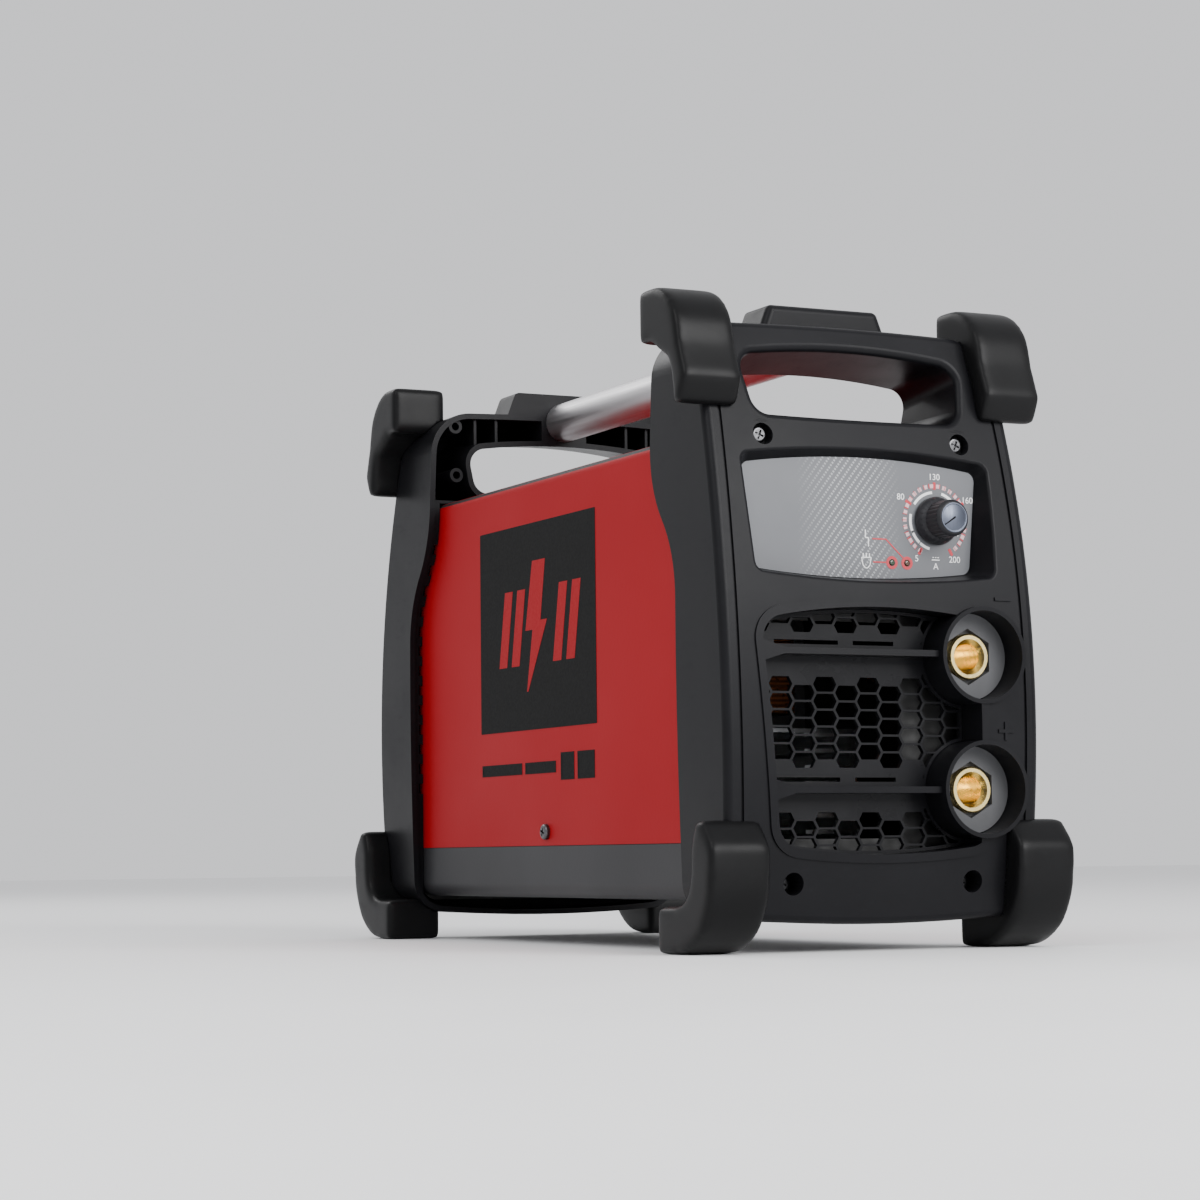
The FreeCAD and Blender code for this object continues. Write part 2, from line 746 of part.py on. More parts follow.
def beside_socket(bumper):
    """The same bumper, clear of the ring of the lower output socket."""
    return bumper.cut(rod_y(ring_outer + seam, socket_x, socket_z[1], front - 30, 0))


def frame_body_space():
    """Space of a whole frame and the seam round it, that the bumpers fit over."""
    return frame_outline(-bumper_seam).common(side_profile(-bumper_seam, bumper_seam))


# ---------------------------------------------------------------- cover and tray
def sheet_section(half, low, top, bend, bend_top):
    """Front view of a closed box section, rounded at its top or bottom corners."""
    prism = block(-half, half, front, -front, low, top)
    height = top if bend_top else low
    edges = [e for e in prism.Edges if along_y(e, 100) and abs(e.CenterOfMass.z - height) < 0.1]
    return prism.makeFillet(bend, edges)


def between_frames(extra):
    """Room of both frames, from each face to this far behind its rear edge."""
    near = side_profile(-40, extra)
    return near.fuse(mirror_y(near))


def tucked_space():
    """Space between the frames that the cover and the tray may fill."""
    whole = block(-half_width - 15, half_width + 15, front, -front, -20, frame_top + 30)
    return whole.cut(between_frames(-cover_tuck))


def make_cover():
    outer = sheet_section(cover_half, cover_low, cover_top, cover_bend, True)
    inner = sheet_section(cover_half - cover_sheet, cover_low - 1, cover_top - cover_sheet,
                          cover_bend - cover_sheet, True)
    shell = outer.cut(inner).common(tucked_space())
    return shell.cut(rod_x(screw_hole / 2, 0, side_screw_z, -half_width, half_width))


def make_tray():
    outer = sheet_section(cover_half, tray_low, cover_low - seam, tray_bend, False)
    inner = sheet_section(cover_half - tray_sheet, tray_low + tray_sheet, cover_low + 5,
                          tray_bend - tray_sheet, False)
    tray = outer.cut(inner)
    inside = cover_half - cover_sheet - seam
    flange = block(inside - tray_sheet, inside, front, -front, 42, side_screw_z + 8)
    joggle = block(inside - tray_sheet, cover_half - 0.01, front, -front, 40.5, 42.01)
    rail = flange.fuse(joggle)
    tray = tray.fuse([rail, mirror_x(rail)]).common(tucked_space())
    tray = tray.cut(rod_x(screw_size / 2 + 0.05, 0, side_screw_z, -half_width, half_width))
    return tray.cut(rod_z(2.1, earth_x, earth_y, 0, tray_low + 5)).removeSplitter()


def inner_panel(holes):
    """Upright sheet inside a frame that carries the parts fixed to it."""
    y0 = front + panel_plane
    low = frame_low + wall + belly_drop + 2
    panel = block(-panel_half, panel_half, y0, y0 + panel_sheet, low, panel_high)
    edges = [e for e in panel.Edges if along_y(e, 1)]
    panel = panel.makeFillet(10, edges)
    window = block(-label_half_low - 2, label_half_low + 2, y0 - 1, y0 + 3, label_low - 6,
                   label_high + 3)
    panel = panel.cut(window)
    for x, z in (screw_high, screw_low):
        for side in (-1, 1):
            panel = panel.cut(rod_y(screw_size / 2 + 0.05, side * x, z, y0 - 1, y0 + 3))
    return panel.cut(holes)


def make_front_panel():
    y0 = front + panel_plane
    holes = [block(-60, 24, y0 - 1, y0 + 3, 52, 154)]
    for z in socket_z:
        holes.append(rod_y(insert_size / 2 + 3.5, socket_x, z, y0 - 1, y0 + 3))
    return inner_panel(Part.makeCompound(holes))


def make_rear_panel():
    y0 = front + panel_plane
    holes = [rod_y(fan_bore / 2, 0, fan_z, y0 - 1, y0 + 3)]
    for x, z in fan_corners():
        holes.append(rod_y(fan_hole / 2, x, z, y0 - 1, y0 + 3))
    return mirror_y(inner_panel(Part.makeCompound(holes)))


# ---------------------------------------------------------------- meshes
def cell_grid(space, blanks):
    """Pointed cells of the mesh whose centres lie in the space, clear of the blanks."""
    tall = (cell_pitch_z - cell_bar) / 2
    long_half = (cell_pitch_x + cell_point) / 2 - cell_bar * 0.6
    flat_half = long_half - cell_point
    columns = int(2 * opening_half / cell_pitch_x) + 2
    rows = int(120 / cell_pitch_z) + 2
    cells = []
    y0 = front + mesh_plane - 1
    for column in range(-columns // 2, columns // 2 + 1):
        for row in range(rows):
            x = column * cell_pitch_x
            z = opening_low - 4 + row * cell_pitch_z + (column % 2) * cell_pitch_z / 2
            if any(x0 - long_half < x < x1 + long_half and z0 - tall < z < z1 + tall
                   for x0, x1, z0, z1 in blanks):
                continue
            points = [vec(x - long_half, y0, z), vec(x - flat_half, y0, z - tall),
                      vec(x + flat_half, y0, z - tall), vec(x + long_half, y0, z),
                      vec(x + flat_half, y0, z + tall), vec(x - flat_half, y0, z + tall),
                      vec(x - long_half, y0, z)]
            cell = Part.Face(Part.makePolygon(points)).extrude(vec(0, mesh_thick + 2, 0))
            cells.append(cell)
    return Part.makeCompound(cells).common(space)


def make_mesh(opening, blanks, cups):
    """Flat mesh panel that closes an intake opening from behind."""
    y0 = front + mesh_plane
    y1 = y0 + mesh_thick
    plate = opening(-seam, y0, y1)
    space = opening(-mesh_border, y0 - 1, y1 + 1)
    if cups:
        cup = Part.makeCompound([rod_y(ring_outer + seam, socket_x, z, y0 - 2, y1 + 2) for z in socket_z])
        near = Part.makeCompound([rod_y(ring_outer + mesh_border, socket_x, z, y0 - 2, y1 + 2)
                                  for z in socket_z])
        plate = plate.cut(cup)
        space = space.cut(near)
    mesh = plate.cut(cell_grid(space, blanks))
    if cups:
        slots = []
        for z in bar_z:
            for x0, x1 in slot_runs:
                slots.append(block(x0, x1, y0 - 1, y1 + 1, z + slot_rise, z + slot_rise + slot_tall))
        mesh = mesh.cut(Part.makeCompound(slots))
    return mesh


# ---------------------------------------------------------------- control panel
def make_label():
    y0 = front + label_plane
    plate = label_seat_plate(-seam, y0, y0 + label_thick)
    plate = plate.cut(rod_y(4.0, knob_x, knob_z, y0 - 1, y0 + 2))
    for x in led_x:
        plate = plate.cut(rod_y(led_size / 2 + 0.1, x, led_z, y0 - 1, y0 + 2))
    return plate


def make_knob():
    """Knob with a wide foot that has shallow flutes all round."""
    y_foot = front + label_plane - knob_gap
    y_nose = y_foot - knob_length
    skirt = rod_y(knob_skirt / 2, knob_x, knob_z, y_foot - 5, y_foot)
    skirt = skirt.makeChamfer(0.8, [e for e in skirt.Edges if abs(e.CenterOfMass.y - y_foot + 5) < 0.1])
    body = cone_y(knob_nose / 2, knob_body / 2, knob_x, knob_z, y_nose, y_foot - 4)
    knob = skirt.fuse(body).removeSplitter()
    flutes = []
    for step in range(knob_flutes):
        angle = math.radians(360 / knob_flutes * step)
        x = knob_x + (knob_skirt / 2 + 0.5) * math.cos(angle)
        z = knob_z + (knob_skirt / 2 + 0.5) * math.sin(angle)
        flutes.append(rod_y(1.0, x, z, y_foot - 10, y_foot - 1))
    knob = knob.cut(Part.makeCompound(flutes))
    knob = knob.cut(rod_y(knob_cap_size / 2, knob_x, knob_z, y_nose - 1, y_nose + cap_seat))
    return knob.cut(rod_y(shaft_size / 2, knob_x, knob_z, y_nose + 3, y_foot + 1))


def make_cap():
    y_nose = front + label_plane - knob_gap - knob_length
    cap = rod_y(knob_cap_size / 2 - 0.1, knob_x, knob_z, y_nose - cap_proud, y_nose + cap_seat)
    cap = cap.makeChamfer(0.5, [e for e in cap.Edges if abs(e.CenterOfMass.y - y_nose + cap_proud) < 0.05])
    pointer = block(-0.45, 0.45, -1, 0.3, 0.8, knob_cap_size / 2 - 1.2)
    pointer.rotate(vec(0, 0, 0), y_axis, knob_pointer)
    pointer.translate(vec(knob_x, y_nose - cap_proud, knob_z))
    return cap.cut(pointer)


def make_shaft():
    """Potentiometer shaft, from inside the knob to inside the potentiometer."""
    y_nose = front + label_plane - knob_gap - knob_length
    pot_front = front + label_plane + label_thick + seat_floor
    return rod_y(shaft_size / 2, knob_x, knob_z, y_nose + 3, pot_front + 7)


def make_potentiometer():
    pot_front = front + label_plane + label_thick + seat_floor
    bush = rod_y(4.9, knob_x, knob_z, front + label_plane + label_thick, pot_front)
    nose = rod_y(3.9, knob_x, knob_z, front + label_plane + 0.1, pot_front)
    can = rod_y(8.5, knob_x, knob_z, pot_front, pot_front + 9)
    legs = block(knob_x - 6, knob_x + 6, pot_front + 2, pot_front + 3, knob_z - 14, knob_z - 7)
    pot = fused([bush, nose, can, legs])
    return pot.cut(rod_y(shaft_size / 2 + shaft_fit, knob_x, knob_z, front, pot_front + 7.3))


def make_led(x):
    """Round indicator with its dome just proud of the label."""
    y_back = front + label_plane + label_thick + seat_floor
    dome_y = front + label_plane - 0.8
    body = rod_y(led_size / 2, x, led_z, dome_y, y_back + 1)
    body = body.makeFillet(0.9, [e for e in body.Edges if abs(e.CenterOfMass.y - dome_y) < 0.05])
    collar = rod_y(led_size / 2 + 0.4, x, led_z, y_back + 0.1, y_back + 1)
    leads = [block(x - 1.5, x - 1.0, y_back + 1, board_y(), led_z - 0.3, led_z + 0.3),
             block(x + 1.0, x + 1.5, y_back + 1, board_y(), led_z - 0.3, led_z + 0.3)]
    return fused([body, collar] + leads)


def board_y():
    """Front of the control board."""
    return front + label_plane + label_thick + seat_floor + 10


def control_board():
    board = block(-58, 58, board_y(), board_y() + 1.6, label_low - 3, label_high - 2)
    for x, z in board_spacer_places():
        board = board.cut(rod_y(1.6, x, z, board_y() - 1, board_y() + 3))
    return board


def board_spacer_places():
    return [(side * 54, z) for side in (-1, 1) for z in (label_low + 4, label_high - 6)]


def board_spacers():
    y_back = front + label_plane + label_thick + seat_floor
    return Part.makeCompound([rod_y(3.0, x, z, y_back, board_y()) for x, z in board_spacer_places()])


# ---------------------------------------------------------------- output sockets
def socket_body(z):
    """Insulating disc with the six sided seat of the brass insert."""
    y0 = front + disc_plane
    y1 = y0 + disc_thick
    disc = rod_y(ring_outer - ring_wall - disc_gap, socket_x, z, y0, y1)
    collar = rod_y(insert_size / 2 + 1.2, socket_x, z, y1, front + panel_plane + panel_sheet + nut_gap)
    body = disc.fuse(collar)
    body = body.cut(hexagon_y(hex_flats, socket_x, z, y0 - 1, y0 + 3.5))
    return body.cut(rod_y(insert_size / 2 + insert_fit, socket_x, z, y0, y0 + 60)).removeSplitter()


def brass_insert(z):
    """Brass socket with a countersunk mouth and the keyway for the plug's pin."""
    y0 = front + disc_plane - insert_proud
    y1 = y0 + insert_length
    insert = rod_y(insert_size / 2, socket_x, z, y0, y1)
    insert = insert.makeChamfer(0.8, [e for e in insert.Edges if abs(e.CenterOfMass.y - y0) < 0.05])
    insert = insert.cut(rod_y(socket_bore / 2, socket_x, z, y0 - 1, y0 + socket_depth))
    insert = insert.cut(cone_y(socket_mouth / 2 + 0.3, socket_bore / 2, socket_x, z, y0 - 0.3, y0 + 2.6))
    key = block(-key_width / 2, key_width / 2, 0, 14, socket_bore / 2 - 1, socket_bore / 2 + 1.9)
    key.rotate(vec(0, 0, 0), y_axis, key_turn)
    key.translate(vec(socket_x, y0 - 0.5, z))
    return insert.cut(key).cut(rod_y(busbar_bolt / 2 + 0.05, socket_x, z, y1 - 8, y1 + 1))


def socket_nuts():
    y0 = front + panel_plane + panel_sheet + nut_gap
    nuts = []
    for z in socket_z:
        nut = hexagon_y(nut_flats, socket_x, z, y0, y0 + nut_thick)
        bore = rod_y(insert_size / 2 + insert_fit, socket_x, z, y0 - 1, y0 + nut_thick + 1)
        nuts.append(nut.cut(bore))
    return Part.makeCompound(nuts)


def busbar(z):
    """Copper bar bolted to the back of a socket, running back to the power parts."""
    y_back = front + disc_plane - insert_proud + insert_length
    arm_x = socket_x + busbar_bolt_flats / 2 + 0.5
    pad = block(socket_x - 8, arm_x + busbar_thick, y_back, y_back + busbar_thick, z - 10, z + 10)
    arm = block(arm_x, arm_x + busbar_thick, y_back, y_back + busbar_length, z - 6, z + 6)
    bar = fused([pad, arm])
    return bar.cut(rod_y(busbar_bolt / 2 + 0.15, socket_x, z, y_back - 1, y_back + busbar_thick + 1))


def busbar_bolts():
    y_back = front + disc_plane - insert_proud + insert_length
    bolts = []
    for z in socket_z:
        head_y = y_back + busbar_thick
        head = hexagon_y(busbar_bolt_flats, socket_x, z, head_y, head_y + 4)
        bolts.append(head.fuse(rod_y(busbar_bolt / 2, socket_x, z, y_back - 7.5, head_y)))
    return Part.makeCompound(bolts)


# ---------------------------------------------------------------- power parts
def standoff_places():
    return [(x, y) for x in (-board_half + 6, board_half - 6)
            for y in (board_front + 8, (board_front + board_back) / 2, board_back - 8)]


def power_board():
    board = block(-board_half, board_half, board_front, board_back, board_low,
                  board_low + board_thick)
    for x, y in standoff_places():
        board = board.cut(rod_z(1.7, x, y, board_low - 1, board_low + board_thick + 1))
    return board


def standoffs():
    posts = []
    for x, y in standoff_places():
        post = rod_z(3.5, x, y, tray_low + tray_sheet, board_low)
        posts.append(post.fuse(rod_z(1.6, x, y, board_low, board_low + board_thick + 1.5)))
    return Part.makeCompound(posts)


def heat_sink():
    """Left hand sink: upright base with fins towards the middle."""
    base = block(-sink_half, -sink_half + sink_base, sink_front, sink_back, sink_low, sink_top)
    fins = [base]
    gap = (sink_top - sink_low - fin_thick) / (fin_count - 1)
    for step in range(fin_count):
        z = sink_low + step * gap
        fins.append(block(-sink_half + sink_base - 0.01, -sink_half + sink_base + sink_fin,
                          sink_front, sink_back, z, z + fin_thick))
    return fused(fins)


def power_packages():
    """Row of packages, each on three legs, against the outside of the left hand sink."""
    packages = []
    for step in range(4):
        y = sink_front + 18 + step * 37
        case = block(-sink_half - 5, -sink_half, y - 8, y + 8, 56, 77)
        legs = [block(-sink_half - 3, -sink_half - 2.2, y + shift - 0.6, y + shift + 0.6,
                      board_low + board_thick, 56.01) for shift in (-5.4, 0, 5.4)]
        packages.append(fused([case] + legs))
    return Part.makeCompound(packages)


def bulk_capacitors():
    cans = []
    low = board_low + board_thick
    for x in (-38, 0, 38):
        can = rod_z(capacitor_size / 2, x, sink_back + 36, low, low + capacitor_tall)
        cans.append(can.makeFillet(1.2, [e for e in can.Edges if e.CenterOfMass.z > low + 40]))
    return Part.makeCompound(cans)


def power_shelf():
    return block(-sink_half, sink_half, sink_front, sink_back, sink_top, sink_top + shelf_thick)


def wound_core(y, deep, half, tall):
    """Closed core with a middle limb, and the gap round that limb for the winding."""
    z0 = sink_top + shelf_thick
    limb = half * limb_share
    core = block(-half, half, y - deep / 2, y + deep / 2, z0, z0 + tall)
    for side in (-1, 1):
        low, high = sorted((side * limb, side * (half - 8)))
        core = core.cut(block(low, high, y - deep, y + deep, z0 + 8, z0 + tall - 8))
    return core


def winding(y, deep, half, tall):
    """Coil wound round the middle limb of a core."""
    z0 = sink_top + shelf_thick
    limb = half * limb_share + seam
    outer = block(-half + 9, half - 9, y - deep / 2 - 10, y + deep / 2 + 10, z0 + 9, z0 + tall - 9)
    outer = outer.makeFillet(6, [e for e in outer.Edges if abs(e.Length - tall + 18) < 0.01])
    return outer.cut(block(-limb, limb, y - deep / 2 - seam, y + deep / 2 + seam, z0, z0 + tall))


# ---------------------------------------------------------------- fan
def fan_corners():
    pitch = fan_hole_pitch / 2
    return [(sx * pitch, fan_z + sz * pitch) for sx in (-1, 1) for sz in (-1, 1)]


def fan_front():
    return half_length - panel_plane - panel_sheet - fan_depth


def fan_frame():
    y0 = fan_front()
    y1 = y0 + fan_depth
    frame = block(-fan_size / 2, fan_size / 2, y0, y1, fan_z - fan_size / 2, fan_z + fan_size / 2)
    frame = frame.makeFillet(5, [e for e in frame.Edges if along_y(e, 10)])
    frame = frame.cut(rod_y(fan_bore / 2, 0, fan_z, y0 - 1, y1 + 1))
    hub = rod_y(fan_hub / 2, 0, fan_z, y0, y0 + 4)
    struts = []
    for step in range(3):
        strut = block(fan_hub / 2 - 3, fan_bore / 2 + 1, y0, y0 + 3, -2, 2)
        strut.rotate(vec(0, 0, 0), y_axis, 120 * step + 30)
        strut.translate(vec(0, 0, fan_z))
        struts.append(strut)
    pin = rod_y(fan_pin / 2, 0, fan_z, y0 + 3.99, y0 + 14)
    frame = fused([frame, hub, pin] + struts)
    for x, z in fan_corners():
        frame = frame.cut(rod_y(fan_hole / 2, x, z, y0 - 1, y1 + 1))
    return frame


def fan_rotor():
    """Hub with slanted blades."""
    y0 = fan_front() + 4.8
    y1 = y0 + fan_depth - 7.5
    hub = rod_y(fan_hub / 2 - 0.5, 0, fan_z, y0, y1)
    hub = hub.makeFillet(1.5, [e for e in hub.Edges if abs(e.CenterOfMass.y - y1) < 0.1])
    tip = fan_bore / 2 - fan_tip_gap
    tip_tube = rod_y(tip, 0, fan_z, y0, y1)
    blades = []
    for step in range(fan_blades):
        chord = block(-blade_chord / 2, blade_chord / 2, -blade_thick / 2, blade_thick / 2,
                      fan_hub / 2 - 3, tip + 3)
        chord.rotate(vec(0, 0, 0), vec(0, 0, 1), blade_turn)
        chord.translate(vec(0, (y0 + y1) / 2, 0))
        chord.rotate(vec(0, 0, 0), y_axis, (step + 0.5) * 360 / fan_blades)
        chord.translate(vec(0, 0, fan_z))
        blades.append(chord.common(tip_tube))
    rotor = fused([hub] + blades)
    return rotor.cut(rod_y(fan_pin / 2 + shaft_fit, 0, fan_z, y0 - 1, fan_front() + 14.4))


def fan_screws():
    """Four screws from behind through the panel and the whole depth of the fan."""
    screws = []
    y_panel = half_length - panel_plane
    for x, z in fan_corners():
        head = rod_y(3.6, x, z, y_panel, y_panel + 2.2)
        screws.append(head.fuse(rod_y(fan_hole / 2 - 0.1, x, z, fan_front(), y_panel)))
    return Part.makeCompound(screws)


# ---------------------------------------------------------------- back panel fittings
def plate_y():
    """Outer face of the rating plate's seat at the back."""
    return half_length - label_plane


def rear_plate():
    plate = label_seat_plate(-seam, front + label_plane, front + label_plane + label_thick)
    hole = block(switch_x - switch_hole_x / 2, switch_x + switch_hole_x / 2, front, 0,
                 switch_z - switch_hole_z / 2, switch_z + switch_hole_z / 2)
    plate = plate.cut(hole).cut(rod_y(gland_thread / 2 + 0.15, gland_x, gland_z, front, 0))
    return mirror_y(plate)


def rocker_pivot_y():
    return plate_y() - rocker_setback


def switch_body():
    y0 = plate_y() - 24
    body = block(switch_x - switch_hole_x / 2 + 0.2, switch_x + switch_hole_x / 2 - 0.2, y0,
                 plate_y() + 0.01, switch_z - switch_hole_z / 2 + 0.2,
                 switch_z + switch_hole_z / 2 - 0.2)
    bezel = block(switch_x - switch_hole_x / 2 - 2, switch_x + switch_hole_x / 2 + 2, plate_y(),
                  plate_y() + switch_rim, switch_z - switch_hole_z / 2 - 2,
                  switch_z + switch_hole_z / 2 + 2)
    bezel = bezel.makeFillet(1.5, [e for e in bezel.Edges if along_y(e, 1)])
    tabs = [block(switch_x + shift - 3, switch_x + shift + 3, y0 - 9, y0 + 0.01,
                  switch_z - 0.5, switch_z + 0.5) for shift in (-7, 7)]
    body = fused([body, bezel] + tabs)
    bowl = rod_x(rocker_radius + rocker_gap, rocker_pivot_y(), switch_z,
                 switch_x - rocker_width / 2 - rocker_gap, switch_x + rocker_width / 2 + rocker_gap)
    body = body.cut(bowl)
    reach = rocker_width / 2 + 3
    return body.cut(rod_x(rocker_pin / 2 + shaft_fit, rocker_pivot_y(), switch_z, switch_x - reach,
                          switch_x + reach))


def rocker():
    """Rocker with a shallow V face, turning on a pin in the switch body."""
    y = rocker_pivot_y()
    drum = rod_x(rocker_radius, y, switch_z, switch_x - rocker_width / 2, switch_x + rocker_width / 2)
    face_mid = 7.2
    face_end = 9.6
    points = [vec(0, -3, -12), vec(0, face_end, -12), vec(0, face_mid, 0), vec(0, face_end, 12),
              vec(0, -3, 12), vec(0, -3, -12)]
    keep = Part.Face(Part.makePolygon(points)).extrude(vec(rocker_width + 2, 0, 0))
    keep.translate(vec(switch_x - rocker_width / 2 - 1, y, switch_z))
    reach = rocker_width / 2 + 2.6
    pin = rod_x(rocker_pin / 2, y, switch_z, switch_x - reach, switch_x + reach)
    shape = drum.common(keep).fuse(pin).removeSplitter()
    shape.rotate(vec(switch_x, y, switch_z), vec(1, 0, 0), rocker_tilt)
    return shape


def cable_gland():
    y = plate_y()
    flange = hexagon_y(gland_flats, gland_x, gland_z, y, y + 5)
    thread = rod_y(gland_thread / 2, gland_x, gland_z, y - 14, y + 0.01)
    neck = rod_y(8.5, gland_x, gland_z, y + 4.99, y + 13)
    body = fused([flange, thread, neck])
    return body.cut(rod_y(gland_bore / 2, gland_x, gland_z, y - 20, y + 20))


def gland_nut():
    """Domed clamping nut of the gland."""
    y = plate_y() + 5.2
    hexagon = hexagon_y(gland_flats, gland_x, gland_z, y, y + 6)
    dome = cone_y(gland_flats / 2, gland_bore / 2 + 2.2, gland_x, gland_z, y + 5.99, y + 12.5)
    nut = fused([hexagon, dome])
    nut = nut.cut(rod_y(8.5 + 0.05, gland_x, gland_z, y - 1, y + 7.9))
    return nut.cut(rod_y(gland_bore / 2 + 0.6, gland_x, gland_z, y - 1, y + 20))


def gland_locknut():
    y1 = half_length - label_plane - label_thick - seat_floor
    nut = hexagon_y(27, gland_x, gland_z, y1 - 4.5, y1)
    return nut.cut(rod_y(gland_thread / 2 + 0.05, gland_x, gland_z, y1 - 6, y1 + 1))


def earth_stud():
    stud = rod_z(2.0, earth_x, earth_y, tray_low - 1.5, tray_low + 18)
    head = rod_z(4.0, earth_x, earth_y, tray_low - 3, tray_low)
    return fused([stud, head])


def earth_nut():
    nut = hexagon_y(7, 0, 0, 0, 3.2)
    nut.rotate(vec(0, 0, 0), vec(1, 0, 0), 90)
    nut.translate(vec(earth_x, earth_y, tray_low + tray_sheet + 0.01))
    return nut.cut(rod_z(2.05, earth_x, earth_y, 0, tray_low + 30))


# ---------------------------------------------------------------- screws
def cross_screw(x, z, y_seat, y_end):
    """Pan head screw along +Y with a cross recess, head towards -Y."""
    head = rod_y(screw_head / 2, x, z, y_seat - screw_head_height, y_seat)
    head = head.makeFillet(1.4, [e for e in head.Edges
                                 if abs(e.CenterOfMass.y - y_seat + screw_head_height) < 0.1])
    screw = head.fuse(rod_y(screw_size / 2, x, z, y_seat - 0.5, y_end))
    y_head = y_seat - screw_head_height
    for turn in (20, 110):
        slot = block(-2.3, 2.3, y_head - 1, y_head + 1.3, -0.5, 0.5)
        slot.rotate(vec(0, 0, 0), y_axis, turn)
        slot.translate(vec(x, 0, z))
        screw = screw.cut(slot)
    return screw


def frame_screws():
    y_end = front + panel_plane + panel_sheet + 7
    screws = [cross_screw(side * x, z, face_y(z) + sink, y_end)
              for (x, z), sink in zip((screw_high, screw_low), screw_sink) for side in (-1, 1)]
    return Part.makeCompound(screws)


def side_screws():
    screw = cross_screw(0, 0, 0, 6)
    screw.rotate(vec(0, 0, 0), vec(0, 0, 1), -90)
    screw.translate(vec(-cover_half, 0, side_screw_z))
    return Part.makeCompound([screw, mirror_x(screw)])


def handle_tube():
    end = half_length - tube_end_gap
    return ring_y(tube_outer / 2, tube_outer / 2 - tube_wall, 0, tube_height, -end, end)


def tube_socket():
    end = half_length - tube_end_gap
    return rod_y(tube_outer / 2 + tube_fit, 0, tube_height, -end, end)


# ---------------------------------------------------------------- the machine
def main():
    save("front_frame", make_front_frame().cut(tube_socket()))
    save("rear_frame", make_rear_frame().cut(tube_socket()))
    for height, bumper in (("upper", upper_bumper()), ("lower", lower_bumper())):
        save("front_bumper_" + height + "_right", beside_socket(bumper))
        save("front_bumper_" + height + "_left", mirror_x(bumper))
        save("rear_bumper_" + height + "_right", mirror_y(bumper))
        save("rear_bumper_" + height + "_left", mirror_y(mirror_x(bumper)))
    save("handle_tube", handle_tube())
    save("cover", make_cover())
    save("base_tray", make_tray())
    save("inner_front_panel", make_front_panel())
    save("inner_rear_panel", make_rear_panel())
    bands = [(-opening_half, 28.0, z - band_half, z + band_half) for z in bar_z]
    save("front_grille", make_mesh(front_opening, bands, True))
    save("rear_grille", mirror_y(make_mesh(opening_space, [], False)))

    save("control_label", make_label())
    save("control_knob", make_knob())
    save("knob_cap", make_cap())
    save("pot_shaft", make_shaft())
    save("potentiometer", make_potentiometer())
    save("led_power", make_led(led_x[0]))
    save("led_alarm", make_led(led_x[1]))
    save("control_board", control_board())
    save("board_spacers", board_spacers())

    for name, z in zip(("negative", "positive"), socket_z):
        save("socket_" + name, brass_insert(z))
        save("socket_body_" + name, socket_body(z))
        save("busbar_" + name, busbar(z))
    save("socket_nuts", socket_nuts())
    save("busbar_bolts", busbar_bolts())

    save("power_board", power_board())
    save("board_standoffs", standoffs())
    save("heat_sink_left", heat_sink())
    save("heat_sink_right", mirror_x(heat_sink()))
    save("power_transistors", power_packages())
    save("output_diodes", mirror_x(power_packages()))
    save("bulk_capacitors", bulk_capacitors())
    save("power_shelf", power_shelf())
    save("transformer_core", wound_core(*transformer))
    save("transformer_winding", winding(*transformer))
    save("choke_core", wound_core(*choke))
    save("choke_winding", winding(*choke))

    save("fan_frame", fan_frame())
    save("fan_rotor", fan_rotor())
    save("fan_screws", fan_screws())
    save("rear_plate", rear_plate())
    save("switch_body", switch_body())
    save("switch_rocker", rocker())
    save("cable_gland", cable_gland())
    save("gland_nut", gland_nut())
    save("gland_locknut", gland_locknut())
    save("earth_stud", earth_stud())
    save("earth_nut", earth_nut())

    save("front_screws", frame_screws())
    save("rear_screws", mirror_y(frame_screws()))
    save("side_screws", side_screws())


main()
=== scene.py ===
"""Looks of an inverter stick welder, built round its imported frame."""
import json
import math

import bmesh
import bpy
from mathutils import Matrix, Vector


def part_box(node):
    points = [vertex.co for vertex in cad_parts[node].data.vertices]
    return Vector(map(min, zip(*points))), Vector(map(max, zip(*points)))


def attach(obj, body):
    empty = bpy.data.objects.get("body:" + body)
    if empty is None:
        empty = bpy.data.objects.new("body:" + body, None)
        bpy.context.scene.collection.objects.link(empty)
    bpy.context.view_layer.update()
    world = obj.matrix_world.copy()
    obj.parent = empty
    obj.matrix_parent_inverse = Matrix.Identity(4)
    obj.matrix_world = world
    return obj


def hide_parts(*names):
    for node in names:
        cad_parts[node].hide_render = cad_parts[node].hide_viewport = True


bl_info = {
    "name": "Stick welder",
    "version": (1, 0, 0),
    "blender": (4, 5, 0),
    "location": "View3D > Sidebar > Welder",
    "description": "Bumpers, control panel, markings and finishes of an inverter stick welder",
    "category": "Object",
}

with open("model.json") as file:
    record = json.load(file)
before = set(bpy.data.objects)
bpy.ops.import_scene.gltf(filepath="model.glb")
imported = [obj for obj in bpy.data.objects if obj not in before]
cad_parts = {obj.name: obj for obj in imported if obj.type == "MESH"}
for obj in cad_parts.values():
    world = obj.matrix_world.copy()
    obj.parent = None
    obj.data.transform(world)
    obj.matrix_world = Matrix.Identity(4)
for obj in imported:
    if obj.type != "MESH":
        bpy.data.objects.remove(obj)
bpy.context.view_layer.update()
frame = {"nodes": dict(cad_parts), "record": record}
nodes = frame["nodes"]
slots = {part["node"]: part["material_slot"] for part in frame["record"]["subparts"]}

MM = 0.001
HOUSING = "housing"
KNOB = "knob"
ROCKER = "rocker"

